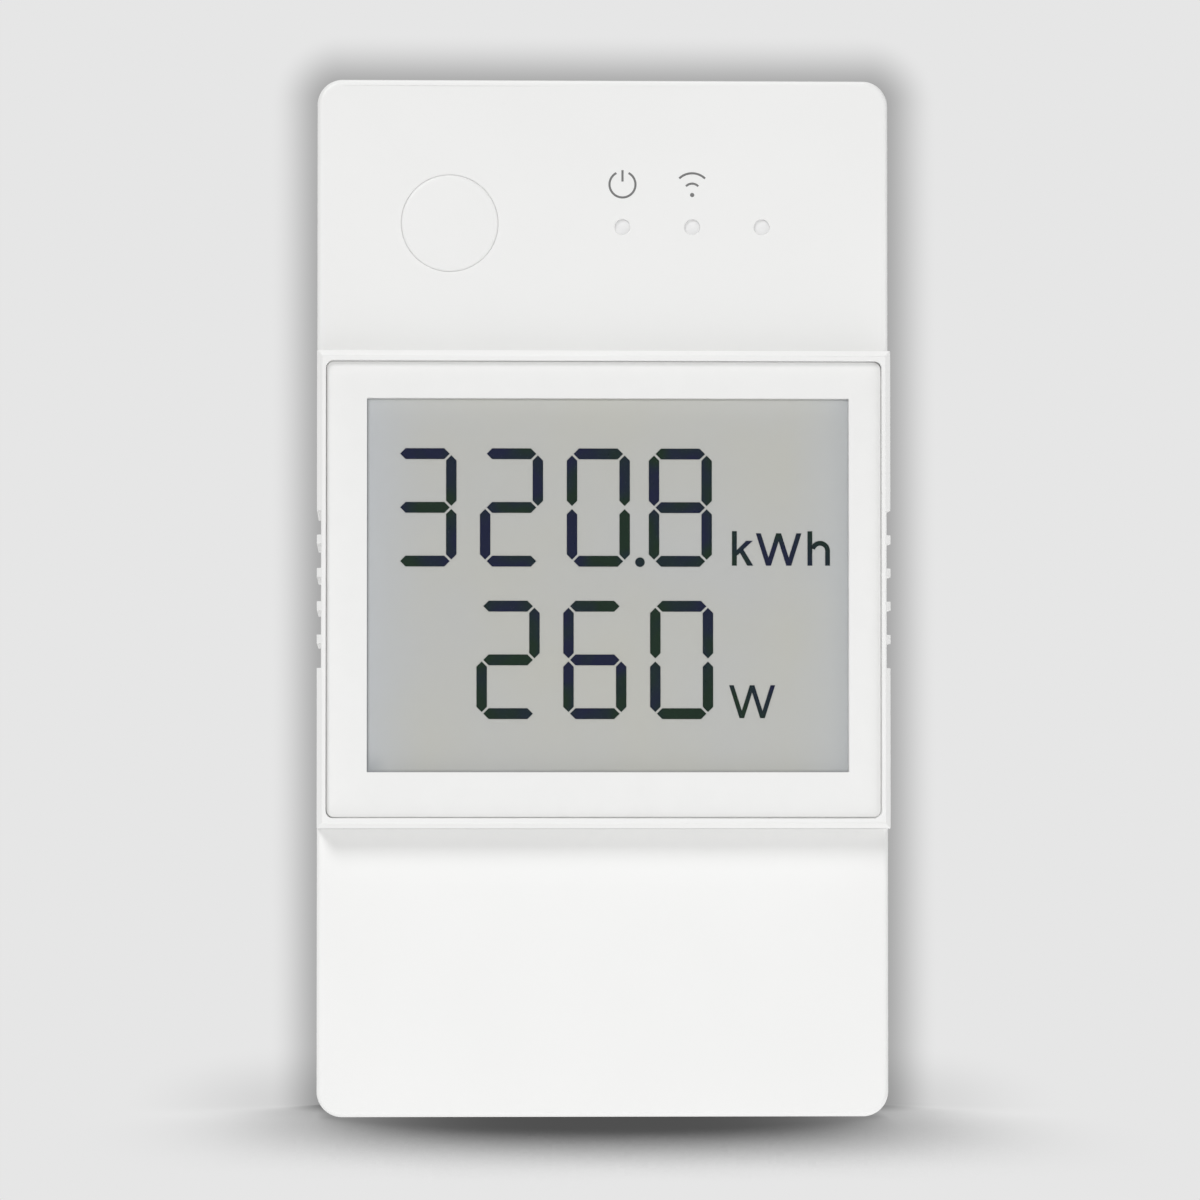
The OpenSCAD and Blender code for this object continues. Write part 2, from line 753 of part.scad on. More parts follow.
module rear_base() color("white")
  difference() {
    union() {
      difference() {
        translate([0, parting_y, 0]) rotate([-90, 0, 0]) mirror([0, 1, 0])
          rounded_plate(back_y - parting_y, rear_edge_r);
        base_hollow();
        side_grooves([parting_y - past, back_y + past]);
        rail_recess();
        clip_channel();
        for (x = pole_x)
          slab(about(x, clamp_in_w + 2 * clamp_wall), [bar_back_y, wire_back_y], [-past, wall + past]);
      }
      lip();
      slab([-slot_half + clip_gap, slot_half - clip_gap],
           [clip_y - clip_gap - root, clip_back_y - clip_gap], [stop_z, stop_z + stop_h]);
      both_sides() {
        for (z = main_screw_z)
          rod(board_screw_x, z, board_post_r, [main_back_y, back_y - wall + root]);
        rod(case_screw_x, case_screw_z, case_post_r, [parting_y + lip_gap, back_y - wall + root]);
        tongue_guide();
      }
    }
    both_sides() {
      for (z = main_screw_z)
        rod(board_screw_x, z, board_screw_r + screw_fit, [main_y - past, back_y - wall]);
      rod(case_screw_x, case_screw_z, case_screw_r + 4 * screw_fit, [parting_y - past, back_y]);
      rod(case_screw_x, case_screw_z, case_head_r + 4 * screw_fit, [case_seat_y, back_y + past]);
      slab([inner_w - past, inner_w + snap_bump + tongue_gap],
           grow([parting_y + snap_l - snap_bump_l, parting_y + snap_l], tongue_gap),
           grow([snap_z, snap_z + snap_w], tongue_gap));
    }
  }

module terminal_cover() color("white") {
  back = parting_y - cover_gap;
  difference() {
    shoulder([-past, block_z - cover_gap], back);
    plate([shoulder_in_y, parting_y]) outline(wall);
    lip(cover_gap);
  }
  both_sides()
    side_tongue(shoulder_in_y - root, lip_root_y, parting_y + tongue_l, [tongue_up, tongue_up + tongue_w]);
}

module display_lens() color("lightcyan", 0.3)
  plate([lens_y, film_y])
    round_rect(grow(lens_x, -lens_gap), grow(lens_z, -lens_gap), lens_r);

module mask_film() color("white")
  plate([film_y, pocket_y])
    difference() {
      round_rect(grow(lens_x, -lens_gap), grow(lens_z, -lens_gap), lens_r);
      translate([window_x[0], window_z[0]]) square([window_x[1] - window_x[0], window_z[1] - window_z[0]]);
    }

module lcd_glass() color("darkgray")
  slab(lcd_x, [lcd_y, lcd_back_y], lcd_z);

module lcd_backlight() color("whitesmoke")
  slab(backlight_x, [lcd_back_y, backlight_back_y], backlight_z);

module lcd_holder() color("ivory")
  difference() {
    slab(grow(lcd_x, stack_fit + holder_wall), [ledge_y, control_y], grow(lcd_z, stack_fit + holder_wall));
    slab(grow(lcd_x, stack_fit), [ledge_y - past, lcd_back_y], grow(lcd_z, stack_fit));
    slab(grow(backlight_x, stack_fit), [lcd_back_y - past, backlight_back_y], grow(backlight_z, stack_fit));
    slab(grow(backlight_x, -shelf_w), [backlight_back_y - past, control_y + past],
         grow(backlight_z, -shelf_w));
    slab(grow(strip_x, stack_fit), [lcd_back_y - past, control_y + past], grow(strip_z, stack_fit));
  }

module contact_strip() color("hotpink")
  slab(strip_x, [lcd_back_y, control_y], strip_z);

module control_board() color("darkgreen")
  difference() {
    slab([-control_half, control_half], [control_y, control_back_y], control_z);
    both_sides() {
      slab([case_screw_x - case_boss_r - board_gap, half_w], grow([control_y, control_back_y], past),
           [case_screw_z - case_boss_r - board_gap, body_h]);
      rod(board_screw_x, control_screw_z, board_screw_r + 2 * screw_fit,
          grow([control_y, control_back_y], past));
    }
  }

// A flat chip that stands off a board face, with gull legs on its two long sides.
// face is the board's surface and dir points away from it along Y.
module chip(at, face, dir, w, l, h, legs) {
  foot = 0.8;
  leg_w = 0.4;
  step = l / legs;
  body_y = dir > 0 ? [face, face + h] : [face - h, face];
  leg_y = dir > 0 ? [face, face + h / 2] : [face - h / 2, face];
  slab(about(at[0], w), body_y, about(at[1], l));
  for (i = [0 : legs - 1])
    slab(about(at[0], w + 2 * foot), leg_y, about(at[1] - l / 2 + (i + 0.5) * step, leg_w));
}

module display_driver() color("dimgray")
  chip(driver_at, control_back_y, 1, driver_w, driver_w, chip_h, 8);

module radio_board() color("navy")
  slab(about(radio_at[0], radio_w), [control_back_y, control_back_y + radio_t], about(radio_at[1], radio_l));

module radio_shield() color("silver")
  difference() {
    y = control_back_y + radio_t;
    slab(about(radio_at[0], shield_w), [y, y + shield_h], about(radio_at[1] - shield_drop, shield_w));
    slab(about(radio_at[0], shield_w - 2 * shield_wall), [y - past, y + shield_h - shield_wall],
         about(radio_at[1] - shield_drop, shield_w - 2 * shield_wall));
  }

module tact_switch() color("dimgray")
  difference() {
    chip([button_x, button_z], control_y, -1, switch_w, switch_w, switch_h, 2);
    rod(button_x, button_z, plunger_r + button_gap, [switch_y - past, control_y - switch_floor]);
  }

module switch_plunger() color("black")
  rod(button_x, button_z, plunger_r,
      [flange_back_y, control_y - switch_floor - button_travel - button_gap]);

module button_cap() color("white")
  translate([button_x, flange_back_y, button_z]) rotate([90, 0, 0])
    rotate_extrude() {
      edge_profile(button_d / 2, flange_back_y - shoulder_y + button_proud, button_edge_r);
      square([button_d / 2 + flange_w, flange_t]);
    }

module status_leds() color("lightyellow")
  for (x = light_x)
    slab(about(x, led_w), [control_y - led_h, control_y], about(light_z, led_l));

module light_guide() color("white", 0.7) {
  guide_r = light_r - guide_fit;
  for (x = light_x)
    rod(x, light_z, guide_r, [shoulder_y + light_recess, control_y - led_h - 2 * guide_fit]);
  slab(grow([light_x[0], light_x[2]], 2 * light_r),
       [shoulder_in_y, shoulder_in_y + guide_t], about(light_z, 4 * light_r));
}

// Middle of pin i across the header
function pin_x(i) = header_at[0] + (i - (pin_count - 1) / 2) * pin_pitch;

module pin_holes(y, fit) {
  for (i = [0 : pin_count - 1])
    slab(about(pin_x(i), pin_w + 2 * fit), y, about(header_at[1], pin_w + 2 * fit));
}

module header_base() color("black")
  difference() {
    slab(about(header_at[0], pin_count * pin_pitch), [main_y - header_h, main_y],
         about(header_at[1], pin_pitch));
    pin_holes(grow([main_y - header_h, main_y], past), screw_fit);
  }

module header_pins() color("gold")
  pin_holes([main_y - header_h - pin_reach, main_back_y + pin_tail], 0);

module header_socket() color("black")
  difference() {
    slab(about(header_at[0], pin_count * pin_pitch), [control_back_y, control_back_y + socket_h],
         about(header_at[1], pin_pitch));
    pin_holes([control_back_y + socket_floor, control_back_y + socket_h + past], screw_fit);
  }

module main_board() color("darkgreen") {
  y = grow([main_y, main_back_y], past);
  difference() {
    slab([-board_half, board_half], [main_y, main_back_y], main_z);
    both_sides() {
      slab([case_screw_x - case_post_r - board_gap, half_w], y,
           [case_screw_z - case_post_r - board_gap, body_h]);
      for (z = main_screw_z)
        rod(board_screw_x, z, board_screw_r + 2 * screw_fit, y);
    }
    for (x = pole_x)
      slab(about(x, 2 * (leg_half + bar_fit)), y, grow([bar_z[1] - leg_t, bar_z[1]], bar_fit));
    pin_holes(y, screw_fit);
  }
}

module power_relay() color("royalblue") {
  corner = 0.8;
  plate([main_y - part_h, main_y])
    round_rect(about(relay_at[0], relay_w), about(relay_at[1], relay_l), corner);
}

// Height of the transformer core, and the depth of its middle, set by the bobbin on the board
coil_fit = 0.1;
bobbin_foot = 0.3;
core_h = part_h - 2 * (bobbin_wall + coil_t + coil_fit + bobbin_foot);
coil_half = core_h / 2 + bobbin_wall + coil_t + coil_fit;
core_y = main_y - coil_half - bobbin_foot;
core_fit = 0.05;
core_yoke = 1.5;

module transformer_core() color("dimgray") {
  leg = (core_w - core_leg) / 2 - bobbin_wall - coil_t - 3 * core_fit;
  difference() {
    slab(about(core_at[0], core_w), about(core_y, core_h), about(core_at[1], core_l));
    for (side = [-1, 1])
      slab(about(core_at[0] + side * (core_w / 2 + core_leg / 2 - leg) / 2, core_w / 2 - core_leg / 2 - leg),
           grow(about(core_y, core_h), past), about(core_at[1], core_l - 2 * core_yoke));
  }
}

module transformer_bobbin() color("ivory") {
  hole_w = core_leg + 2 * core_fit;
  hole_h = core_h + 2 * core_fit;
  winding_l = core_l - 2 * core_yoke - 2 * core_fit;
  translate([core_at[0], core_y, core_at[1] - winding_l / 2])
    difference() {
      union() {
        linear_extrude(winding_l)
          square([hole_w + 2 * bobbin_wall, hole_h + 2 * bobbin_wall], center = true);
        for (z = [0, winding_l - bobbin_wall])
          translate([0, 0, z]) linear_extrude(bobbin_wall)
            square([hole_w + 2 * bobbin_wall + 2 * coil_t, 2 * (coil_half + bobbin_foot)], center = true);
      }
      translate([0, 0, -past]) linear_extrude(winding_l + 2 * past)
        square([hole_w, hole_h], center = true);
    }
}

module transformer_coil() color("goldenrod") {
  inner = [core_leg + 4 * core_fit + 2 * bobbin_wall, core_h + 4 * core_fit + 2 * bobbin_wall];
  winding_l = core_l - 2 * core_yoke - 4 * core_fit - 2 * bobbin_wall;
  translate([core_at[0], core_y, core_at[1] - winding_l / 2])
    linear_extrude(winding_l)
      difference() {
        square([inner[0] + 2 * coil_t - 4 * core_fit, inner[1] + 2 * coil_t - 4 * core_fit], center = true);
        square(inner, center = true);
      }
}

module filter_capacitors() color("black") {
  neck = 0.35;
  neck_up = 1;
  neck_h = 0.8;
  neck_y = [main_y - neck_up - neck_h, main_y - neck_up];
  for (at = can_at) {
    rod(at[0], at[1], can_r, [neck_y[1], main_y]);
    rod(at[0], at[1], can_r - neck, neck_y);
    rod(at[0], at[1], can_r, [main_y - part_h, neck_y[0]]);
  }
}

module safety_capacitor() color("gold") {
  corner = 0.6;
  plate([main_y - part_h, main_y])
    round_rect(about(film_cap_at[0], film_cap_w), about(film_cap_at[1], film_cap_t), corner);
}

module varistor() color("steelblue") {
  lead = 0.6;
  varistor_r = (part_h - varistor_lead) / 2;
  middle_y = main_y - varistor_r - varistor_lead;
  translate([varistor_at[0] - varistor_t / 2, middle_y, varistor_at[1]]) rotate([0, 90, 0])
    cylinder(r = varistor_r, h = varistor_t);
  for (side = [-1, 1])
    slab(about(varistor_at[0], lead), [middle_y, main_y],
         about(varistor_at[1] + side * varistor_r / 2, lead));
}

module fuse() color("saddlebrown") {
  corner = 1.6;
  plate([main_y - fuse_h, main_y])
    round_rect(about(fuse_at[0], fuse_w), about(fuse_at[1], fuse_l), corner);
}

module current_shunt() color("peru") {
  x = about(shunt_at[0], shunt_l);
  translate([0, 0, shunt_at[1] - shunt_w / 2]) linear_extrude(shunt_w)
    difference() {
      translate([x[0], main_y - shunt_rise - shunt_t]) square([shunt_l, shunt_rise + shunt_t]);
      translate([x[0] + shunt_t, main_y - shunt_rise]) square([shunt_l - 2 * shunt_t, shunt_rise + past]);
    }
}

module metering_chip() color("dimgray")
  chip(meter_at, main_y, -1, chip_w, meter_l, chip_h, 8);

module rectifier() color("dimgray")
  chip(rectifier_at, main_y, -1, chip_w, rectifier_l, rectifier_h, 2);

module terminal_block() color("gray")
  difference() {
    slab([-terminal_half, terminal_half], [block_y, main_y], terminal_z);
    for (x = pole_x) {
      slab(about(x, 2 * chamber_half), [ledge_back_y, block_floor_y], [terminal_z[0] - past, chamber_top]);
      rod(x, screw_up, head_r + run_gap, [block_y - past, ledge_front_y]);
      rod(x, screw_up, shank_r + run_gap / 2, [ledge_front_y - past, ledge_back_y + past]);
      slab(about(x, 2 * (bar_half + bar_fit)), grow([bar_y, bar_back_y], bar_fit),
           [chamber_top - past, bar_z[1] + bar_fit]);
      slab(about(x, 2 * (leg_half + bar_fit)), [bar_y, main_y + past],
           grow([bar_z[1] - leg_t, bar_z[1]], bar_fit));
    }
  }

module contact_bars() color("peru")
  for (x = pole_x) {
    slab(about(x, 2 * bar_half), [bar_y, bar_back_y], bar_z);
    slab(about(x, 2 * leg_half), [bar_y, main_back_y + leg_out], [bar_z[1] - leg_t, bar_z[1]]);
  }

// A screw held in the block by its head, so that it turns without moving along
module terminal_screw(i) color("silver") {
  slot_w = 0.7;
  slot_t = 0.9;
  reach = 1.7;
  difference() {
    union() {
      rod(pole_x[i], screw_up, head_r, [head_y, head_back_y]);
      rod(pole_x[i], screw_up, shank_r, [head_back_y - slot_w, bar_y - run_gap / 2]);
    }
    slab(about(pole_x[i], slot_w), [head_y - past, head_y + slot_t], about(screw_up, 2 * reach));
    slab(about(pole_x[i], 2 * reach), [head_y - past, head_y + slot_t], about(screw_up, slot_w));
  }
}

// A box clamp open along the wire, drawn towards the head as its screw turns
module wire_clamp(i) color("darkkhaki")
  difference() {
    translate([pole_x[i], 0, clamp_z]) linear_extrude(clamp_l)
      difference() {
        translate([-clamp_half, clamp_y]) square([2 * clamp_half, clamp_back_y - clamp_y]);
        translate([-clamp_in_w / 2, clamp_nut_back_y]) square([clamp_in_w, wire_back_y - clamp_nut_back_y]);
      }
    rod(pole_x[i], screw_up, shank_r + run_gap / 3, grow([clamp_y, clamp_nut_back_y], past / 5));
  }

module din_clip() color("dimgray") {
  body_half = clip_w / 2 - clip_wing;
  lead_in = 1.4;
  pull_half = 2.5;
  difference() {
    union() {
      slab([-clip_w / 2, clip_w / 2], [clip_y, wing_back_y], [clip_up, clip_top]);
      slab([-body_half, body_half], [clip_y, clip_back_y], [clip_up, clip_top]);
    }
    slab([-slot_half, slot_half], [clip_y - past, clip_back_y + past], [stop_z - stop_gap, spring_top]);
    slab([-pull_half, pull_half], [clip_y - past, clip_back_y + past], [pull_z, pull_z + pull_h]);
    across([-clip_w, clip_w])
      polygon([[clip_back_y - lead_in, clip_top], [clip_back_y, clip_top - lead_in],
               [clip_back_y + past, clip_top - lead_in], [clip_back_y + past, clip_top + past],
               [clip_back_y - lead_in, clip_top + past]]);
  }
}

// The clip spring: a round wire carried along a helix, with open ends
curl_rings = 8;
wire_sides = 6;
spring_seat = 0.05;
ring_count = spring_turns * curl_rings;
spring_rise = spring_l - 2 * wire_r - 2 * spring_seat;
function helix(k) = [
  spring_r * cos(360 * k / curl_rings),
  spring_y + spring_r * sin(360 * k / curl_rings),
  spring_z + spring_seat + wire_r + spring_rise * k / ring_count
];
// Outward and upward directions across the wire at ring k
function wire_out(k) = [cos(360 * k / curl_rings), sin(360 * k / curl_rings), 0];
function wire_up(k) =
  let (slope = spring_rise / ring_count * curl_rings / (2 * PI * spring_r), n = sqrt(1 + slope * slope))
  [slope * sin(360 * k / curl_rings) / n, -slope * cos(360 * k / curl_rings) / n, 1 / n];
function wire_point(k, s) =
  helix(k) + wire_r * (cos(360 * s / wire_sides) * wire_out(k) + sin(360 * s / wire_sides) * wire_up(k));
function wire_index(k, s) = k * wire_sides + s % wire_sides;
// Least gap from any ring to the rings half a turn or more along
spring_gap = min([
  for (k = [0 : ring_count], m = [k + curl_rings / 2 : min(k + 2 * curl_rings, ring_count)])
    norm(helix(k) - helix(m))
]) - 2 * wire_r;
echo(clip_spring_least_gap = spring_gap);

module clip_spring() color("silver")
  polyhedron(
    points = [for (k = [0 : ring_count], s = [0 : wire_sides - 1]) wire_point(k, s)],
    faces = concat(
      [for (k = [0 : ring_count - 1], s = [0 : wire_sides - 1])
        [wire_index(k, s), wire_index(k + 1, s), wire_index(k + 1, s + 1)]],
      [for (k = [0 : ring_count - 1], s = [0 : wire_sides - 1])
        [wire_index(k, s), wire_index(k + 1, s + 1), wire_index(k, s + 1)]],
      [for (s = [1 : wire_sides - 2]) [0, s, s + 1]],
      [for (s = [1 : wire_sides - 2])
        [wire_index(ring_count, 0), wire_index(ring_count, s + 1), wire_index(ring_count, s)]]
    ));

// A screw along Y with a round head and a cross slot; dir points from its tip to its head
module pan_screw(x, z, seat, dir, r, l, head, head_t) {
  slot_w = 0.6;
  slot_t = head_t / 2;
  shank = dir > 0 ? [seat - l, seat + slot_t / 2] : [seat - slot_t / 2, seat + l];
  cap = dir > 0 ? [seat, seat + head_t] : [seat - head_t, seat];
  slot = dir > 0 ? [seat + slot_t, seat + head_t + past] : [seat - head_t - past, seat - slot_t];
  difference() {
    union() {
      rod(x, z, r, shank);
      rod(x, z, head, cap);
    }
    slab(about(x, slot_w), slot, about(z, 1.3 * head));
    slab(about(x, 1.3 * head), slot, about(z, slot_w));
  }
}

module housing_screws() color("silver")
  for (side = [-1, 1])
    pan_screw(side * case_screw_x, case_screw_z, case_seat_y, 1,
              case_screw_r, case_screw_l, case_head_r, case_head_h);

module board_screws() color("silver")
  for (side = [-1, 1], z = main_screw_z)
    pan_screw(side * board_screw_x, z, main_y, -1,
              board_screw_r, main_t + board_bite, board_head_r, board_head_h);

module control_screws() color("silver")
  for (side = [-1, 1])
    pan_screw(side * board_screw_x, control_screw_z, control_back_y, 1,
              board_screw_r, control_t + control_bite, board_head_r, board_head_h);

front_cover();
rear_base();
terminal_cover();
display_lens();
mask_film();
lcd_glass();
lcd_backlight();
lcd_holder();
contact_strip();
control_board();
display_driver();
radio_board();
radio_shield();
tact_switch();
switch_plunger();
button_cap();
status_leds();
light_guide();
header_base();
header_pins();
header_socket();
main_board();
power_relay();
transformer_core();
transformer_bobbin();
transformer_coil();
filter_capacitors();
safety_capacitor();
varistor();
fuse();
current_shunt();
metering_chip();
rectifier();
terminal_block();
contact_bars();
terminal_screw(0);  // terminal_screw_1
terminal_screw(1);  // terminal_screw_2
terminal_screw(2);  // terminal_screw_3
terminal_screw(3);  // terminal_screw_4
wire_clamp(0);  // wire_clamp_1
wire_clamp(1);  // wire_clamp_2
wire_clamp(2);  // wire_clamp_3
wire_clamp(3);  // wire_clamp_4
din_clip();
clip_spring();
housing_screws();
board_screws();
control_screws();
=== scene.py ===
import json
import math

import bmesh
import bpy
import numpy as np
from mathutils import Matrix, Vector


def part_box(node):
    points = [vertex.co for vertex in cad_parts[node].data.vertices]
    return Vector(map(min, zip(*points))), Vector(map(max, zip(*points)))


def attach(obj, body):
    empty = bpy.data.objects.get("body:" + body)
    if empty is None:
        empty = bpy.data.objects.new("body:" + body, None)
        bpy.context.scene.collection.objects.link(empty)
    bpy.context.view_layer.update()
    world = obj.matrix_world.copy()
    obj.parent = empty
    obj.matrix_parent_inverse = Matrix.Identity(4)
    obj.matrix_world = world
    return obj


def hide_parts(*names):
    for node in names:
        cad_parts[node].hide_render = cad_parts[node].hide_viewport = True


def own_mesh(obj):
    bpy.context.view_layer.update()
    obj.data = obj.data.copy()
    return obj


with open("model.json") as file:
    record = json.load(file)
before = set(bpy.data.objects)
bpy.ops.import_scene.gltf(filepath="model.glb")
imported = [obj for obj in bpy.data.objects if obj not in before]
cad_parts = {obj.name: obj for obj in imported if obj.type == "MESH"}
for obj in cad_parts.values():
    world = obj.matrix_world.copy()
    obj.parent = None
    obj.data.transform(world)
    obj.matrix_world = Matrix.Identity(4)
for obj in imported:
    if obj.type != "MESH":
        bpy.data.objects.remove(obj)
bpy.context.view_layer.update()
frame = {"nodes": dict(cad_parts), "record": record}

mm = 0.001
nodes = frame["nodes"]
slotOf = {part["node"]: part["material_slot"] for part in frame["record"]["subparts"]}
print("frame:", len(nodes), "nodes")


def nodeBox(node):  # lowest and highest corner of a CAD node, in mm
    low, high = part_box(node)
    return np.array(low) / mm, np.array(high) / mm


def linear(hexText):  # sRGB hex to linear RGBA
    srgb = np.array([int(hexText[i:i + 2], 16) for i in (1, 3, 5)]) / 255
    values = np.where(srgb <= 0.04045, srgb / 12.92, ((srgb + 0.055) / 1.055) ** 2.4)
    return (*values.tolist(), 1.0)


def addNode(tree, kind, sockets=None, **settings):  # a socket value that is itself a socket gets linked
    node = tree.nodes.new("ShaderNode" + kind)
    for name, value in settings.items():
        setattr(node, name, value)
    for key, value in (sockets or {}).items():
        if isinstance(value, bpy.types.NodeSocket):
            tree.links.new(value, node.inputs[key])
        else:
            node.inputs[key].default_value = value
    return node


def startMaterial(name):  # an empty node tree and its Object coordinates
    material = bpy.data.materials.new(name)
    material.use_nodes = True
    material.node_tree.nodes.clear()
    coords = addNode(material.node_tree, "TexCoord").outputs["Object"]
    return material, material.node_tree, coords


def perMm(size):  # texture scale at which one feature is about this many mm wide
    return 1 / (size * mm)


# Moulded plastics. Two close shades drift in soft clouds, and a fine grain breaks the gloss.
# The grain is drawn at the size given, coarser than the real one where that would not show.
# Each has its name, two shades, roughness, grain in mm and the grain's depth in mm.
plastics = {
    "housing": ("absSparkTextured", "#F1F1F0", "#EDEDEC", 0.44, 0.32, 0.006),  # white, satin, faint tooth
    "holder": ("pbtMouldedIvory", "#DEDACB", "#D2CDBB", 0.48, 0.30, 0.004),  # warm ivory, dull
    "diffuser": ("acrylicMilky", "#F3F2EA", "#E8E7DD", 0.35, 0.40, 0.002),  # milky, even
    "chip": ("epoxyMoulded", "#1B1C1E", "#26272A", 0.55, 0.22, 0.006),  # black, sandy
    "relay": ("pbtMouldedBlue", "#22478C", "#1B3B78", 0.34, 0.28, 0.003),  # blue case, soft shine
    "film_capacitor": ("polyesterBoxYellow", "#DDAE3A", "#CF9E2B", 0.36, 0.26, 0.003),  # mustard yellow
    "varistor": ("epoxyDippedBlue", "#2A5C9E", "#214D88", 0.30, 0.90, 0.020),  # dipped, orange peel
    "fuse": ("thermosetBrown", "#5B3623", "#4C2C1C", 0.45, 0.30, 0.004),  # dark brown cap
    "can": ("pvcSleeveBlack", "#26272C", "#303138", 0.30, 0.60, 0.004),  # shrunk sleeve, smooth
    "terminal": ("polyamideGrey", "#84888B", "#787C80", 0.52, 0.30, 0.006),  # grey, slightly rough
    "clip": ("acetalCharcoal", "#3B3E42", "#46494D", 0.42, 0.34, 0.005),  # charcoal, waxy
    "elastomer": ("siliconeLayered", "#CE8A92", "#4B3A3D", 0.60, 0.50, 0.004),  # pink with dark layers
    "ferrite": ("ferriteSintered", "#45464A", "#37383B", 0.62, 0.24, 0.010),  # dull grey, gritty
}


def mouldedPlastic(slot):
    name, colour, shade, rough, grain, depth = plastics[slot]
    material, tree, coords = startMaterial(name)
    clouds = addNode(tree, "TexNoise", {"Vector": coords, "Scale": perMm(14.0), "Detail": 3.0}).outputs[0]
    tooth = addNode(tree, "TexNoise", {"Vector": coords, "Scale": perMm(grain), "Detail": 4.0}).outputs[0]
    tint = addNode(tree, "Mix", {0: clouds, 6: linear(colour), 7: linear(shade)},
                   data_type="RGBA").outputs[2]
    sheen = addNode(tree, "MapRange", {0: tooth, 1: 0.3, 2: 0.7, 3: rough - 0.05, 4: rough + 0.05}).outputs[0]
    relief = addNode(tree, "Bump", {"Height": tooth, "Strength": 0.35, "Distance": depth * mm}).outputs[0]
    body = addNode(tree, "BsdfPrincipled", {
        "Base Color": tint, "Roughness": sheen, "Normal": relief, "IOR": 1.53})
    addNode(tree, "OutputMaterial", {"Surface": body.outputs[0]})
    return material


# Metals. Long fine scratches or a cloudy plating vary the gloss; a metal keeps the default IOR.
# Each has its name, two shades, roughness and the size of a mark along x, y and z in mm.
metals = {
    "screw": ("steelZincPlated", "#C9CBCD", "#B4B8BC", 0.28, (0.6, 0.6, 0.6)),  # bluish bright plating
    "clamp": ("steelNickelPlated", "#CFC9B8", "#BDB6A2", 0.26, (0.25, 2.0, 0.25)),  # warm bright plating
    "spring": ("springSteelDrawn", "#B9BBBE", "#9EA1A5", 0.24, (0.3, 0.3, 0.3)),  # drawn wire, bright
    "tin": ("steelTinned", "#CFCFCB", "#BBBBB6", 0.34, (3.0, 0.4, 0.25)),  # soft grey tin, rolled
    "pins": ("brassGoldPlated", "#E2BD6A", "#D3AB55", 0.22, (0.4, 2.0, 0.4)),  # thin gold, smooth
    "copper": ("brassStamped", "#D9A066", "#C98E55", 0.30, (0.25, 1.2, 3.0)),  # rolled strip, warm
}


def platedMetal(slot):
    name, colour, shade, rough, streak = metals[slot]
    material, tree, coords = startMaterial(name)
    scale = [perMm(size) for size in streak]
    stretch = addNode(tree, "Mapping", {"Vector": coords, "Scale": scale}).outputs[0]
    marks = addNode(tree, "TexNoise", {"Vector": stretch, "Scale": 1.0, "Detail": 4.0}).outputs[0]
    tint = addNode(tree, "Mix", {0: marks, 6: linear(colour), 7: linear(shade)},
                   data_type="RGBA").outputs[2]
    gloss = addNode(tree, "MapRange", {0: marks, 1: 0.3, 2: 0.7, 3: rough - 0.06, 4: rough + 0.10}).outputs[0]
    relief = addNode(tree, "Bump", {"Height": marks, "Strength": 0.2, "Distance": 0.003 * mm}).outputs[0]
    body = addNode(tree, "BsdfPrincipled", {
        "Base Color": tint, "Roughness": gloss, "Normal": relief, "Metallic": 1.0})
    addNode(tree, "OutputMaterial", {"Surface": body.outputs[0]})
    return material


# Solder mask over etched copper: raised tracks under a glossy lacquer, and small tinned vias.
# Each has its name and the lacquer's shade beside and over a track.
masks = {
    "board": ("fr4SolderMaskGreen", "#1E6B3C", "#2B8048"),  # deep green, lighter over the tracks
    "radio": ("fr4SolderMaskBlue", "#16306B", "#21437F"),  # dark blue, lighter over the tracks
}


def solderMask(slot):
    name, colour, track = masks[slot]
    material, tree, coords = startMaterial(name)
    trackWave, viaPitch, viaRadius = 7.2, 3.1, 0.32  # bands at 0.31 of a wave: tracks about 2.3 mm apart
    lines = addNode(tree, "TexWave", {
        "Vector": coords, "Scale": perMm(trackWave), "Distortion": 3.0, "Detail": 1.0}, bands_direction="Z")
    raised = addNode(tree, "MapRange", {0: lines.outputs["Fac"], 1: 0.52, 2: 0.58}).outputs[0]
    spots = addNode(tree, "TexVoronoi", {"Vector": coords, "Scale": perMm(viaPitch)}).outputs["Distance"]
    via = addNode(tree, "Math", {0: spots, 1: viaRadius / viaPitch}, operation="LESS_THAN").outputs[0]
    lacquer = addNode(tree, "Mix", {0: raised, 6: linear(colour), 7: linear(track)},
                      data_type="RGBA").outputs[2]
    tint = addNode(tree, "Mix", {0: via, 6: lacquer, 7: linear("#C9C3B2")}, data_type="RGBA").outputs[2]
    relief = addNode(tree, "Bump", {"Height": raised, "Strength": 0.5, "Distance": 0.03 * mm}).outputs[0]
    body = addNode(tree, "BsdfPrincipled", {
        "Base Color": tint, "Roughness": 0.28, "Metallic": via, "Normal": relief})
    addNode(tree, "OutputMaterial", {"Surface": body.outputs[0]})
    return material


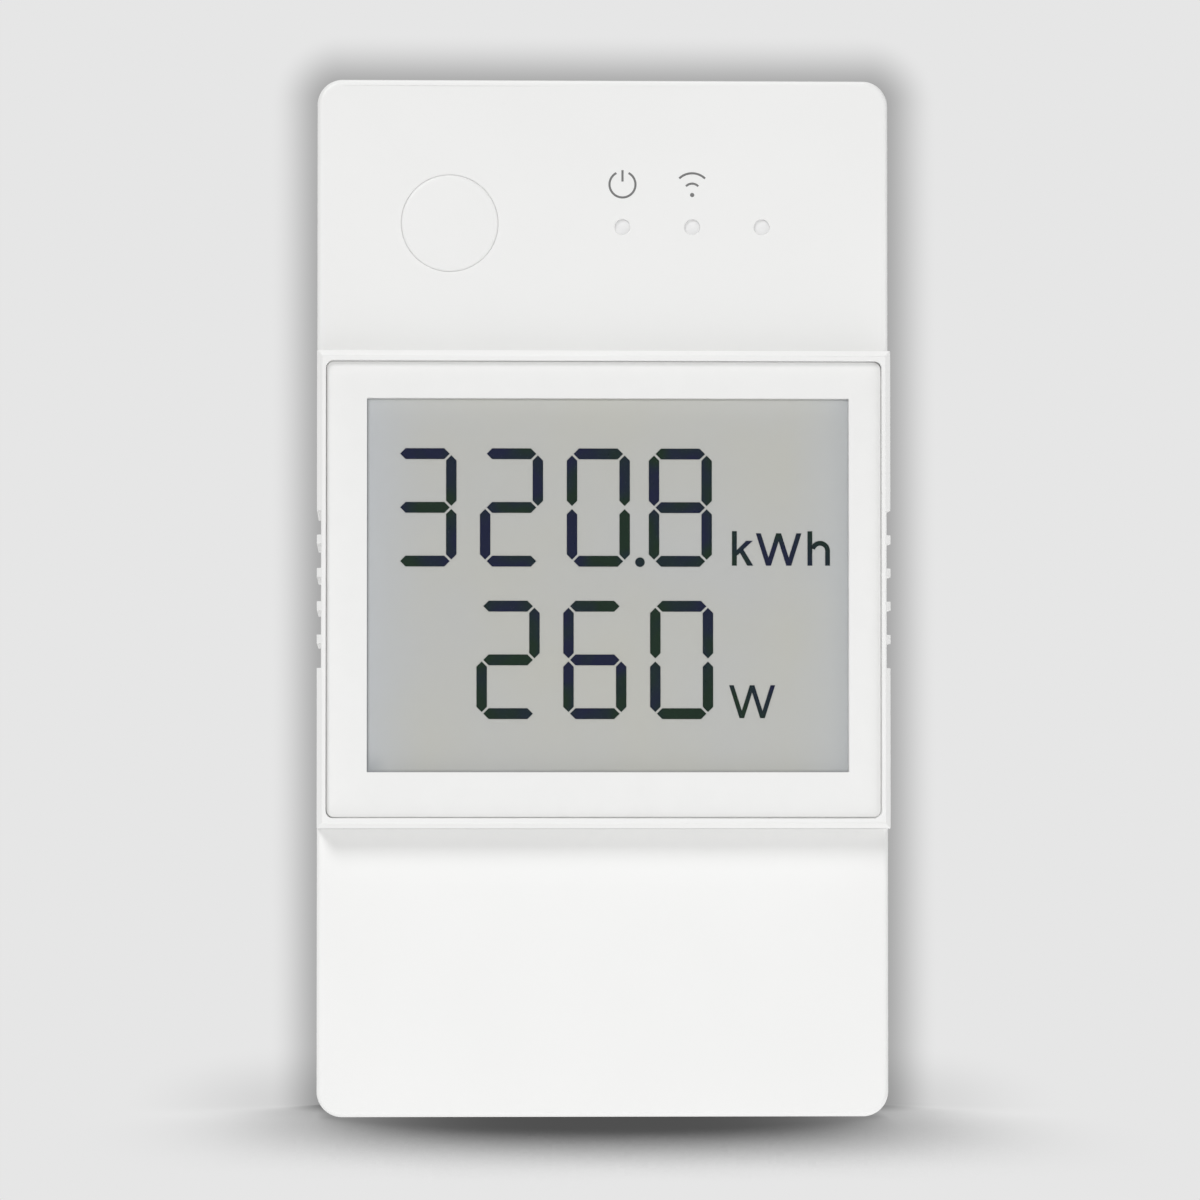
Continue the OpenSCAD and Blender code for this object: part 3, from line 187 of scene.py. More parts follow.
def polishedAcrylic():  # clear cast acrylic with an anti-glare coat: only its thin reflection shows
    material, tree, coords = startMaterial("acrylicPolished")
    smears = addNode(tree, "TexNoise", {"Vector": coords, "Scale": perMm(9.0), "Detail": 4.0}).outputs[0]
    gloss = addNode(tree, "MapRange", {0: smears, 1: 0.3, 2: 0.7, 3: 0.05, 4: 0.12}).outputs[0]
    clear = addNode(tree, "BsdfTransparent")
    shine = addNode(tree, "BsdfGlossy", {"Roughness": gloss})
    slant = addNode(tree, "LayerWeight", {"Blend": 0.5}).outputs["Facing"]
    rise = addNode(tree, "Math", {0: slant, 1: 5.0}, operation="POWER").outputs[0]
    share = addNode(tree, "MapRange", {0: rise, 3: 0.02, 4: 1.0}).outputs[0]  # 2 % is left straight on
    inner = addNode(tree, "NewGeometry").outputs["Backfacing"]
    outer = addNode(tree, "Mix", {0: inner, 2: share, 3: 0.0}).outputs[0]  # the inner faces stay clear
    lens = addNode(tree, "MixShader", {0: outer, 1: clear.outputs[0], 2: shine.outputs[0]})
    addNode(tree, "OutputMaterial", {"Surface": lens.outputs[0]})
    return material


def printedFilm():  # white screen print on the panel: flat and even, faintly mottled ink
    material, tree, coords = startMaterial("screenPrintWhite")
    mottle = addNode(tree, "TexNoise", {"Vector": coords, "Scale": perMm(2.5), "Detail": 5.0}).outputs[0]
    tint = addNode(tree, "Mix", {0: mottle, 6: linear("#EFEFEE"), 7: linear("#EBEBEA")},
                   data_type="RGBA").outputs[2]
    body = addNode(tree, "BsdfPrincipled", {"Base Color": tint, "Roughness": 0.4, "IOR": 1.5})
    addNode(tree, "OutputMaterial", {"Surface": body.outputs[0]})
    return material


# The clear window, by how much glass is hidden round it. The glass is bluish from a share of its half width
# on, and has a painted shadow in a line along the window's left and foot and a painted shade round the corner
# between them.
window = {"hidden": 0.9, "hiddenFoot": 2.4, "blueFrom": 0.72, "blue": 0.75, "line": 0.3, "paintedLineShadow": 0.55,
          "corner": 2.2, "paintedCornerShade": 0.5}


def windowBox():  # its lowest and highest corner as x and z
    low, high = nodeBox("lcd_glass")
    return (np.array([low[0] + window["hidden"], low[2] + window["hiddenFoot"]]),
            np.array([high[0] - window["hidden"], high[2] - window["hidden"]]))


def displayGlass():  # reflective liquid crystal: grey, with a soft drift between a warm and a neutral shade
    material, tree, coords = startMaterial("liquidCrystalGrey")
    low, high = nodeBox("lcd_glass")
    middle, half = (low[0] + high[0]) / 2, (high[0] - low[0]) / 2
    left, foot = windowBox()[0]
    drift = addNode(tree, "TexNoise", {"Vector": coords, "Scale": perMm(16.0), "Detail": 2.0}).outputs[0]
    warm = addNode(tree, "MapRange", {0: drift, 1: 0.35, 2: 0.65}).outputs[0]
    grey = addNode(tree, "Mix", {0: warm, 6: linear("#B9B9B2"), 7: linear("#B8B9B7")},
                   data_type="RGBA").outputs[2]
    across, depth, up = addNode(tree, "SeparateXYZ", {0: coords}).outputs
    centred = addNode(tree, "Math", {0: across, 1: middle * mm}, operation="SUBTRACT").outputs[0]
    away = addNode(tree, "Math", {0: centred}, operation="ABSOLUTE").outputs[0]
    side = addNode(tree, "MapRange", {0: away, 1: window["blueFrom"] * half * mm, 2: half * mm, 3: 0.0,
                                      4: window["blue"]}).outputs[0]
    tint = addNode(tree, "Mix", {0: side, 6: grey, 7: linear("#B6BABF")}, data_type="RGBA").outputs[2]
    # painted shadow: a dark line along the window's left edge and its foot, where the recessed glass would be
    # shaded
    lines = [addNode(tree, "MapRange", {0: place, 1: edge * mm, 2: (edge + window["line"]) * mm,
                                        3: window["paintedLineShadow"], 4: 0.0}).outputs[0]
             for place, edge in ((across, left), (up, foot))]
    line = addNode(tree, "Math", dict(enumerate(lines)), operation="MAXIMUM").outputs[0]
    shadowLined = addNode(tree, "Mix", {0: line, 6: tint, 7: linear("#6F7274")}, data_type="RGBA").outputs[2]
    # painted shade: the glass darkens towards the window's lower left corner
    heart = addNode(tree, "VectorMath", {0: coords, 1: (left * mm, low[1] * mm, foot * mm)},
                    operation="DISTANCE").outputs["Value"]
    shade = addNode(tree, "MapRange", {0: heart, 1: 0.0, 2: window["corner"] * mm, 3: window["paintedCornerShade"],
                                       4: 0.0}).outputs[0]
    full = addNode(tree, "Mix", {0: shade, 6: shadowLined, 7: linear("#8C9095")}, data_type="RGBA").outputs[2]
    body = addNode(tree, "BsdfPrincipled", {"Base Color": full, "Roughness": 0.45, "IOR": 1.5})
    addNode(tree, "OutputMaterial", {"Surface": body.outputs[0]})
    return material


def crystalDark():  # energised crystal: nearly black, drifting between navy and bottle green
    material, tree, coords = startMaterial("liquidCrystalDark")
    drift = addNode(tree, "TexNoise", {"Vector": coords, "Scale": perMm(4.0), "Detail": 1.0}).outputs[0]
    share = addNode(tree, "MapRange", {0: drift, 1: 0.38, 2: 0.62}).outputs[0]
    tint = addNode(tree, "Mix", {0: share, 6: linear("#141A36"), 7: linear("#14291C")},
                   data_type="RGBA").outputs[2]
    body = addNode(tree, "BsdfPrincipled", {"Base Color": tint, "Roughness": 0.5, "Specular IOR Level": 0.0})
    addNode(tree, "OutputMaterial", {"Surface": body.outputs[0]})
    return material


def padPrintInk():  # pad-printed grey ink: matt, a little thinner in places
    material, tree, coords = startMaterial("padPrintGrey")
    thin = addNode(tree, "TexNoise", {"Vector": coords, "Scale": perMm(0.5), "Detail": 3.0}).outputs[0]
    tint = addNode(tree, "Mix", {0: thin, 6: linear("#626262"), 7: linear("#7C7C7C")},
                   data_type="RGBA").outputs[2]
    body = addNode(tree, "BsdfPrincipled", {"Base Color": tint, "Roughness": 0.6, "IOR": 1.5})
    addNode(tree, "OutputMaterial", {"Surface": body.outputs[0]})
    return material


def frostedGuide():  # moulded polycarbonate with frosted ends: milky white, matt
    material, tree, coords = startMaterial("polycarbonateFrosted")
    frost = addNode(tree, "TexNoise", {"Vector": coords, "Scale": perMm(0.25), "Detail": 3.0}).outputs[0]
    tint = addNode(tree, "Mix", {0: frost, 6: linear("#EFEFEF"), 7: linear("#E7E7E7")},
                   data_type="RGBA").outputs[2]
    relief = addNode(tree, "Bump", {"Height": frost, "Strength": 0.3, "Distance": 0.01 * mm}).outputs[0]
    body = addNode(tree, "BsdfPrincipled", {
        "Base Color": tint, "Roughness": 0.5, "Normal": relief, "IOR": 1.58})
    addNode(tree, "OutputMaterial", {"Surface": body.outputs[0]})
    return material


def woundCoil():  # enamelled wire under yellow polyester tape: its turns show as soft ridges
    material, tree, coords = startMaterial("polyesterTapeWound")
    turnWave = 8.0  # bands at 0.31 of it: ridges 2.5 mm apart, coarser than the real wire so that they show
    turns = addNode(tree, "TexWave", {"Vector": coords, "Scale": perMm(turnWave), "Distortion": 0.3},
                    bands_direction="Z").outputs["Fac"]
    tint = addNode(tree, "Mix", {0: turns, 6: linear("#C79A22"), 7: linear("#DDB23A")},
                   data_type="RGBA").outputs[2]
    relief = addNode(tree, "Bump", {"Height": turns, "Strength": 0.5, "Distance": 0.05 * mm}).outputs[0]
    body = addNode(tree, "BsdfPrincipled", {"Base Color": tint, "Roughness": 0.32, "Normal": relief})
    addNode(tree, "OutputMaterial", {"Surface": body.outputs[0]})
    return material


finish = {slot: mouldedPlastic(slot) for slot in plastics}
finish.update({slot: platedMetal(slot) for slot in metals})
finish.update({slot: solderMask(slot) for slot in masks})
finish.update({"lens": polishedAcrylic(), "mask": printedFilm(), "lcd": displayGlass(),
               "light_guide": frostedGuide(), "winding": woundCoil()})
darkCrystal = crystalDark()
signInk = padPrintInk()
for node, cadObject in nodes.items():
    cadObject.data.materials.clear()
    cadObject.data.materials.append(finish[slotOf[node]])
print("finishes:", len(finish) + 2)


def addPiece(name, mesh, material, body):  # links a mesh that is already in place
    mesh.materials.append(material)
    piece = bpy.data.objects.new(name, mesh)
    bpy.context.collection.objects.link(piece)
    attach(piece, body)
    return piece


def meshFrom(name, points, faces):  # points in mm
    mesh = bpy.data.meshes.new(name)
    mesh.from_pydata((np.asarray(points) * mm).tolist(), [], faces)
    mesh.update()
    return mesh


def gridFaces(rows, columns, ring=False):  # quads of a tube; ring joins its last row to its first too
    row = np.arange(rows if ring else rows - 1)[:, None]
    column = np.arange(columns)[None, :]
    after, below = (column + 1) % columns, (row + 1) % rows
    quads = np.stack([row * columns + column, row * columns + after, below * columns + after,
                      below * columns + column], -1)
    return quads.reshape(-1, 4).tolist()


# Skins: a merged copy of a node, its curves drawn finer and its outer edges slightly broken.
# A curve is a rectangle with round corners seen from the front (a circle has corners as large as its halves),
# where "round" is the radius of the edge that runs on to the depth "face".
outerX, outerZ = nodeBox("rear_base")[1][[0, 2]]
backY = nodeBox("rear_base")[1][1]
shoulderY = nodeBox("terminal_cover")[0][1]  # the front of both ends; the block stands out from it
blockFoot = nodeBox("front_cover")[0][2]
partingY = -3.0  # where the covers meet the rear base
case = {"corner": 2.4, "frontRound": 0.5, "rearRound": 0.8, "seam": 0.11, "buttonHole": 4.6}
caseCurve = {"centre": (0, outerZ / 2), "half": (outerX, outerZ / 2), "corner": case["corner"]}
frontCurve = {**caseCurve, "round": case["frontRound"], "face": shoulderY}
rearCurve = {**caseCurve, "round": case["rearRound"], "face": backY}


def holeCurve(node, radius, inset=None):  # round, over a node's middle or this far inside its low x side
    low, high = nodeBox(node)
    centre = ((low[0] + high[0]) / 2 if inset is None else low[0] + inset, (low[2] + high[2]) / 2)
    return {"centre": centre, "half": (radius, radius), "corner": radius, "round": 0.0, "face": shoulderY}


def curveDistance(points, curve):
    # distance outside the rectangle drawn in by the edge radius, the way outwards and the depth in the edge
    tiny = 1e-9
    half = np.array(curve["half"]) - curve["round"]
    corner = curve["corner"] - curve["round"]
    offset = points[:, [0, 2]] - np.array(curve["centre"])
    reach = np.abs(offset) - (half - corner)
    past = np.maximum(reach, 0)
    length = np.linalg.norm(past, axis=1)
    nearest = (reach >= reach.max(axis=1, keepdims=True)).astype(float)
    way = np.where(length[:, None] > tiny, past / np.maximum(length, tiny)[:, None], nearest)
    distance = np.where(length > tiny, length, reach.max(axis=1)) - corner
    side = np.sign(curve["face"])
    depth = np.maximum(side * (points[:, 1] - curve["face"]) + curve["round"], 0) * (curve["round"] > 0)
    return distance, way * np.sign(offset), depth * side


def onCurve(points, curve, slack):  # True for the points that lie on the curve's surface
    distance, way, depth = curveDistance(points, curve)
    return (np.abs(np.hypot(distance, depth) - curve["round"]) < slack) & (distance > -slack)


def moveToCurve(points, curve):  # each point goes straight out to the edge radius from its middle line
    distance, way, depth = curveDistance(points, curve)
    scale = curve["round"] / np.maximum(np.hypot(distance, depth), 1e-9)
    moved = points.copy()
    moved[:, [0, 2]] += way * (distance * (scale - 1))[:, None]
    moved[:, 1] += depth * (scale - 1)
    return moved


def edgeEnds(surface):  # both end points of every edge, in mm
    return np.array([[vert.co for vert in edge.verts] for edge in surface.edges]) / mm


def refineCurve(surface, curve):  # edges that cut across the curve are divided and the new points moved to it
    slack, sag, cuts = 0.004, 0.35, 3  # how far off an edge's ends and its middle may lie, and points added
    ends = edgeEnds(surface)
    middle = ends.mean(axis=1)
    onBoth = onCurve(ends[:, 0], curve, slack) & onCurve(ends[:, 1], curve, slack)
    bent = onBoth & ~onCurve(middle, curve, slack / 2) & onCurve(middle, curve, sag)
    edges = [edge for edge, chosen in zip(surface.edges, bent) if chosen]
    if not edges:
        return
    known = {tuple(vert.co) for vert in surface.verts}
    bmesh.ops.subdivide_edges(surface, edges=edges, cuts=cuts, use_grid_fill=True)
    added = [vert for vert in surface.verts if tuple(vert.co) not in known]
    places = moveToCurve(np.array([vert.co for vert in added]) / mm, curve) * mm
    for vert, place in zip(added, places):
        vert.co = place


# how close to an outer face an edge counts as on it, and how far the terminal cover's broken edges keep
# from its tongue and from the block
outside = {"near": 0.1, "front": 0.15, "side": 0.5, "tongue": 0.3, "block": 0.2}


def outerFront(x, y, z):
    side = (np.abs(x) > outerX - outside["side"]) | (z > outerZ - outside["near"])
    return (y < shoulderY + outside["front"]) | ((y < partingY + outside["near"]) & side)


def outerLow(x, y, z):
    side = (np.abs(x) > outerX - outside["near"]) | (z < outside["near"])
    return side & (y < partingY - outside["tongue"]) & (z < blockFoot - outside["block"])


def outerRear(x, y, z):
    end = (z < outside["near"]) | (z > outerZ - outside["near"])
    side = (np.abs(x) > outerX - outside["near"]) | end
    return (y > backY - outside["near"]) | ((y > partingY - outside["near"]) & side)


def anywhere(x, y, z):
    return x == x


# heights of the side grooves, how far in their edges lie, and the turn from which an edge there is sharp
grooves = {"foot": 42.29, "head": 57.11, "reach": 0.7, "sharp": math.radians(6)}


def inGrooves(x, y, z):  # their edges stay crisp: the chamfer left in a groove is narrower than an edge break
    slack = 0.01
    level = (z > grooves["foot"] - slack) & (z < grooves["head"] + slack)
    return (np.abs(x) > outerX - grooves["reach"]) & level


# the lights' holes, and the guide's tips in them, which flare at the front over a depth
lights = {"count": 3, "radius": 0.725, "pitch": 6.6, "tip": 0.675, "flare": 0.72, "depth": 0.5}
buttonHole = holeCurve("button_cap", case["buttonHole"])
lightHoles = [holeCurve("light_guide", lights["radius"], 2 * lights["radius"] + i * lights["pitch"])
              for i in range(lights["count"])]
skins = {
    "front_cover": {"name": "frontCoverSkin", "body": "housing", "edge": 0.1, "where": outerFront,
                    "curves": [frontCurve, buttonHole, *lightHoles]},
    "terminal_cover": {"name": "terminalCoverSkin", "body": "cover", "edge": 0.1, "where": outerLow,
                       "curves": [frontCurve]},
    "rear_base": {"name": "rearBaseSkin", "body": "housing", "edge": 0.1, "where": outerRear,
                  "curves": [rearCurve]},
    "din_clip": {"name": "railClipSkin", "body": "clip", "edge": 0.15, "where": anywhere, "curves": []},
}
sharpAngle = math.radians(32)


def mergedCopy(node):  # a CAD node's triangles joined, and those of one plane made one face
    surface = bmesh.new()
    surface.from_mesh(nodes[node].data)
    bmesh.ops.remove_doubles(surface, verts=surface.verts, dist=0.0001 * mm)
    bmesh.ops.dissolve_limit(surface, angle_limit=math.radians(0.3), verts=surface.verts, edges=surface.edges)
    return surface


def meshOf(surface, name):
    mesh = bpy.data.meshes.new(name)
    surface.to_mesh(mesh)
    surface.free()
    return mesh


def smoothFaces(mesh, sharp=None):  # smooth shading, with edges sharp from an angle on if one is given
    mesh.polygons.foreach_set("use_smooth", np.ones(len(mesh.polygons), bool))
    if sharp:
        mesh.set_sharp_from_angle(angle=sharp)


def narrowSeam(mesh):  # the cover's upper edge goes up to the block, so that the seam shows as a hairline
    places = np.empty(3 * len(mesh.vertices))
    mesh.vertices.foreach_get("co", places)
    places = places.reshape(-1, 3)
    places[places[:, 2] > places[:, 2].max() - 0.01 * mm, 2] += case["seam"] * mm
    mesh.vertices.foreach_set("co", places.ravel())
    mesh.update()


def finerSkin(node):
    spec = skins[node]
    surface = mergedCopy(node)
    for curve in spec["curves"]:
        refineCurve(surface, curve)
    weight = surface.edges.layers.float.new("bevel_weight_edge")
    ends = edgeEnds(surface)
    middle = ends.mean(axis=1)
    grooved = inGrooves(*middle.T)
    crispHole = onCurve(middle, buttonHole, 0.02)  # the button's own round edge makes the ring seen round it
    chosen = spec["where"](*ends[:, 0].T) & spec["where"](*ends[:, 1].T) & ~grooved & ~crispHole
    for edge, outer, crisp in zip(surface.edges, chosen, grooved):
        turn = edge.calc_face_angle_signed(0)
        edge[weight] = 1.0 if outer and turn > sharpAngle else 0.0
        edge.smooth = abs(turn) < (grooves["sharp"] if crisp else sharpAngle)
    mesh = meshOf(surface, spec["name"])
    if node == "terminal_cover":
        narrowSeam(mesh)
    smoothFaces(mesh)
    skin = addPiece(spec["name"], mesh, finish[slotOf[node]], spec["body"])
    breaking = skin.modifiers.new("edgeBreak", "BEVEL")
    breaking.width = spec["edge"] * mm
    breaking.segments = 3
    breaking.limit_method = "WEIGHT"
    breaking.use_clamp_overlap = False
    breaking.harden_normals = True
    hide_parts(node)


def fullGuide():  # a copy of the light guide: its tips are rounder and widen at the front to fill their holes
    surface = mergedCopy("light_guide")
    for hole in lightHoles:
        tip = {**hole, "half": (lights["tip"], lights["tip"]), "corner": lights["tip"]}
        flare = {**hole, "half": (lights["flare"], lights["flare"]), "corner": lights["flare"]}
        refineCurve(surface, tip)
        places = np.array([vert.co for vert in surface.verts]) / mm
        front = onCurve(places, tip, 0.01) & (places[:, 1] < shoulderY + lights["depth"])
        places[front] = moveToCurve(places[front], flare)
        for vert, place in zip(surface.verts, places * mm):
            vert.co = place
    mesh = meshOf(surface, "lightGuideTips")
    smoothFaces(mesh, sharpAngle)
    piece = addPiece("lightGuideTips", mesh, finish["light_guide"], "housing")
    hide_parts("light_guide")


for node in skins:
    finerSkin(node)
fullGuide()
print("skins:", len(skins) + 1)

# Display panel: a clear window in a white printed border. Each is a round-cornered outline at several depths;
# at the border's front edge the outline is drawn in along a quarter circle.
panel = {"corner": 0.7, "edge": 0.12, "edgeSteps": 4, "windowCorner": 0.08, "cornerSteps": 8, "lift": 0.01,
         "sharp": math.radians(40)}


def panelRing(low, high, corner, inset, depth):  # one turn of the outline, drawn in, at one depth
    turn = np.radians(np.linspace(0, 90, panel["cornerSteps"] + 1)[None, :] + np.arange(4)[:, None] * 90)
    signX, signZ = np.array([1, -1, -1, 1])[:, None], np.array([1, 1, -1, -1])[:, None]
    middle, half = (low + high) / 2, (high - low) / 2
    x = middle[0] + signX * (half[0] - corner) + (corner - inset) * np.cos(turn)
    z = middle[1] + signZ * (half[1] - corner) + (corner - inset) * np.sin(turn)
    return np.stack([x.ravel(), np.full(x.size, depth), z.ravel()], 1)


def displayPanel():
    low, high = nodeBox("display_lens")
    front, back = low[1], high[1] - panel["lift"]
    outline = (low[[0, 2]], high[[0, 2]], panel["corner"])
    opening = (*windowBox(), panel["windowCorner"])
    arc = np.linspace(0, math.pi / 2, panel["edgeSteps"] + 1)
    inset, depths = panel["edge"] * (1 - np.sin(arc)), front + panel["edge"] * (1 - np.cos(arc))
    rings = [panelRing(*opening, 0, depth) for depth in (back, front)]
    rings += [panelRing(*outline, drawnIn, depth) for drawnIn, depth in zip(inset, depths)]
    rings.append(panelRing(*outline, 0, back))
    faces = [face[::-1] for face in gridFaces(len(rings), len(rings[0]), ring=True)]
    border = meshFrom("panelBorder", np.concatenate(rings), faces)
    smoothFaces(border, panel["sharp"])
    piece = addPiece("panelBorder", border, finish["mask"], "housing")
    piece.visible_shadow = False  # the real print is a film and casts no shadow on the display behind it
    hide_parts("display_lens")
    rings = [panelRing(*opening, panel["lift"], depth) for depth in (front, back)]
    count = len(rings[0])
    faces = [face[::-1] for face in gridFaces(2, count)]
    faces += [list(range(count)), list(range(count, 2 * count))[::-1]]
    pane = meshFrom("panelWindow", np.concatenate(rings), faces)
    addPiece("panelWindow", pane, finish["lens"], "housing")


displayPanel()
print("panel made")

# Push button: a profile of radius and depth turned round the button's axis
button = {"radius": 4.59, "edge": 0.3, "flange": 0.8, "steps": 6, "sides": 96, "sharp": math.radians(40)}


def pushButton():
    low, high = nodeBox("button_cap")
    centre = (low + high) / 2
    arc = np.linspace(0, math.pi / 2, button["steps"] + 1)
    rim = button["radius"] - button["edge"] * (1 - np.sin(arc))
    depth = low[1] + button["edge"] * (1 - np.cos(arc))
    flange = (high[0] - low[0]) / 2
    flangeFront = high[1] - button["flange"]
    radius = np.concatenate([rim, [button["radius"], flange, flange]])
    depth = np.concatenate([depth, [flangeFront, flangeFront, high[1]]])
    turn = np.linspace(0, 2 * math.pi, button["sides"], endpoint=False)
    points = np.stack([centre[0] + radius[:, None] * np.cos(turn),
                       np.broadcast_to(depth[:, None], (len(depth), len(turn))),
                       centre[2] + radius[:, None] * np.sin(turn)], -1).reshape(-1, 3)
    sides = button["sides"]
    faces = [face[::-1] for face in gridFaces(len(radius), sides)]
    faces.append(list(range(sides)))
    faces.append(list(range(len(points) - sides, len(points)))[::-1])
    mesh = meshFrom("buttonCapTurned", points, faces)
    smoothFaces(mesh, button["sharp"])
    piece = addPiece("buttonCapTurned", mesh, finish["housing"], "button")
    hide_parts("button_cap")


pushButton()
print("button made")


# Flat work: each outline of x and z stands at two depths, with a wall round its edge
def flatPlates(name, outlines, front, back, material):
    points, faces, count = [], [], 0
    for outline in outlines:
        outline = np.asarray(outline, float)
        after = np.roll(outline, -1, 0)
        if np.sum(outline[:, 0] * after[:, 1] - after[:, 0] * outline[:, 1]) < 0:
            outline = outline[::-1]
        size = len(outline)
        for depth in (front, back):
            points.append(np.stack([outline[:, 0], np.full(size, depth), outline[:, 1]], 1))
        ring = np.arange(size)
        after = (ring + 1) % size
        walls = np.stack([ring + size, after + size, after, ring], 1) + count
        faces.append((ring + count).tolist())
        faces.append((ring[::-1] + size + count).tolist())
        faces.extend(walls.tolist())
        count += 2 * size
    addPiece(name, meshFrom(name, np.concatenate(points), faces), material, "housing")


def strokeOutline(path, width):
    # a line of even width: the path's points moved to both sides along the mitre of the two normals there
    path = np.asarray(path, float)
    step = np.diff(path, axis=0)
    step /= np.linalg.norm(step, axis=1)[:, None]
    normal = np.stack([-step[:, 1], step[:, 0]], 1)
    mitre = np.vstack([normal[:1], normal]) + np.vstack([normal, normal[-1:]])
    side = mitre * (width / (mitre ** 2).sum(1))[:, None]
    return np.vstack([path + side, (path - side)[::-1]])


def arcPath(centre, radius, first, last, steps=40):  # points round a circle, angles in degrees from +x
    angle = np.radians(np.linspace(first, last, steps))
    return np.stack([centre[0] + radius * np.cos(angle), centre[1] + radius * np.sin(angle)], 1)


def discOutline(centre, radius, steps=24):
    return arcPath(centre, radius, 0, 360 * (1 - 1 / steps), steps)


def pointedBar(start, end, width):  # a display bar: both ends cut to a right-angled point
    start, end = np.array(start, float), np.array(end, float)
    along = (end - start) / np.linalg.norm(end - start) * width / 2
    side = np.array([-along[1], along[0]])
    return [start, start + along - side, end - along - side, end, end - along + side, start + along + side]


# The reading on the display: seven-bar figures with two units. Places are x and z in mm, and the plates stand
# between the film and the glass, with a gap to each.
reading = {
    "figureW": 5.95, "figureH": 11.15, "upright": 0.98, "level": 1.02, "gap": 0.15,
    "rows": [{"figures": "3208", "at": [-16.84, -8.68, -0.49, 7.25], "z": 57.45},
             {"figures": "260", "at": [-9.0, -0.82, 7.37], "z": 43.08}],
    "point": {"at": (3.44, 52.3), "radius": 0.45},
    "filmGap": 0.015, "glassGap": 0.005,
}
bars = {"0": "abcdef", "2": "abged", "3": "abgcd", "6": "afgedc", "8": "abcdefg"}
# letters: small ones reach a share of their height, and a slanting stroke's level cut is in strokes
units = {
    "stroke": 0.45, "base": 51.99, "top": 55.24, "capital": 55.04, "small": 0.72, "slantCut": 0.52,
    "kLeft": 12.13, "wSides": (14.62, 18.45), "hSides": (19.49, 21.16),
    "power": {"sides": (12.07, 15.98), "base": 37.6, "top": 40.7, "stroke": 0.414},
}
kShape = {"width": 1.96, "knee": 0.45, "arm": 0.62, "leg": 0.52, "toe": 0.04, "fork": (1.08, 0.05),
          "hip": (0.76, -0.28), "joint": 0.52}  # mm, but the knee is a share of the height
hShape = {"bend": 0.85, "from": 165, "steps": 24}  # the arch, as a share of the half width and in degrees


def figureBars(figure, x, z):
    right = (reading["figureW"] - reading["upright"]) / 2
    top = (reading["figureH"] - reading["level"]) / 2
    gap = reading["gap"]
    level = {"a": top, "g": 0, "d": -top}
    upright = {"b": (right, gap, top - gap), "c": (right, gap - top, -gap),
               "f": (-right, gap, top - gap), "e": (-right, gap - top, -gap)}
    for bar in bars[figure]:
        if bar in level:
            height = z + level[bar]
            yield pointedBar((x - right + gap, height), (x + right - gap, height), reading["level"])
        else:
            side, foot, head = upright[bar]
            yield pointedBar((x + side, z + foot), (x + side, z + head), reading["upright"])


def letterW(left, right, base, top, stroke):
    # four slanting strokes of one width, cut level at the top and at the foot
    xs = np.linspace(left, right, 5)
    half = stroke * units["slantCut"]
    inner = (top - base) * (1 - (xs[1] - xs[0] - half) / (xs[1] - xs[0]))
    return [(xs[0] - half, top), (xs[1] - half, base), (xs[1] + half, base), (xs[2], top - inner),
            (xs[3] - half, base), (xs[3] + half, base), (xs[4] + half, top), (xs[4] - half, top),
            (xs[3], base + inner), (xs[2] + half, top), (xs[2] - half, top), (xs[1], base + inner),
            (xs[0] + half, top)]


def letterK(left, base, top, stroke):
    # the outline of a stem, then the arm up to the small letters' height and the leg from the fork
    stem, reach = left + stroke, left + kShape["width"]
    small, knee = base + units["small"] * (top - base), base + kShape["knee"] * (top - base)
    (forkX, forkZ), (hipX, hipZ) = kShape["fork"], kShape["hip"]
    return [(left, base), (left, top), (stem, top), (stem, knee),
            (reach - kShape["arm"], small), (reach, small), (left + forkX, knee + forkZ),
            (reach + kShape["toe"], base), (reach - kShape["leg"], base), (left + hipX, knee + hipZ),
            (stem, knee - kShape["joint"]), (stem, base)]


def letterH(left, right, base, top, stroke):  # a stem, and a line that arches over and runs down to the base
    stem = strokeOutline([(left, base), (left, top)], stroke)
    bend = hShape["bend"] * (right - left) / 2
    shoulder = base + units["small"] * (top - base) - stroke / 2 - bend
    arch = arcPath((right - bend, shoulder), bend, hShape["from"], 0, hShape["steps"])
    return [stem, strokeOutline(np.vstack([arch, [(right, base)]]), stroke)]


def displayReading():
    front = nodeBox("mask_film")[1][1] + reading["filmGap"]
    back = nodeBox("lcd_glass")[0][1] - reading["glassGap"]
    figures = [bar for row in reading["rows"] for figure, x in zip(row["figures"], row["at"])
               for bar in figureBars(figure, x, row["z"])]
    figures.append(discOutline(reading["point"]["at"], reading["point"]["radius"]))
    flatPlates("displayFigures", figures, front, back, darkCrystal)
    base, top, stroke, power = units["base"], units["top"], units["stroke"], units["power"]
    letters = [letterK(units["kLeft"], base, top, stroke),
               letterW(*units["wSides"], base, units["capital"], stroke),
               *letterH(*units["hSides"], base, top, stroke),
               letterW(*power["sides"], power["base"], power["top"], power["stroke"])]
    flatPlates("displayUnits", letters, front, back, darkCrystal)


displayReading()
print("reading made")

# Printed signs, risen above the first two lights: a ring open at the top with a bar, and two arcs over a dot.
# An arc has its radius and half its angle in degrees.
signs = {"line": 0.2, "proud": 0.012, "sunk": 0.01, "rise": 4.02,
         "ring": 1.23, "ringGap": 28, "ringSteps": 72, "bar": (0.28, 1.36),
         "arcs": [(1.76, 43.9), (0.78, 47.8)], "arcDrop": 0.68, "dotDrop": 0.98, "dot": 0.2}


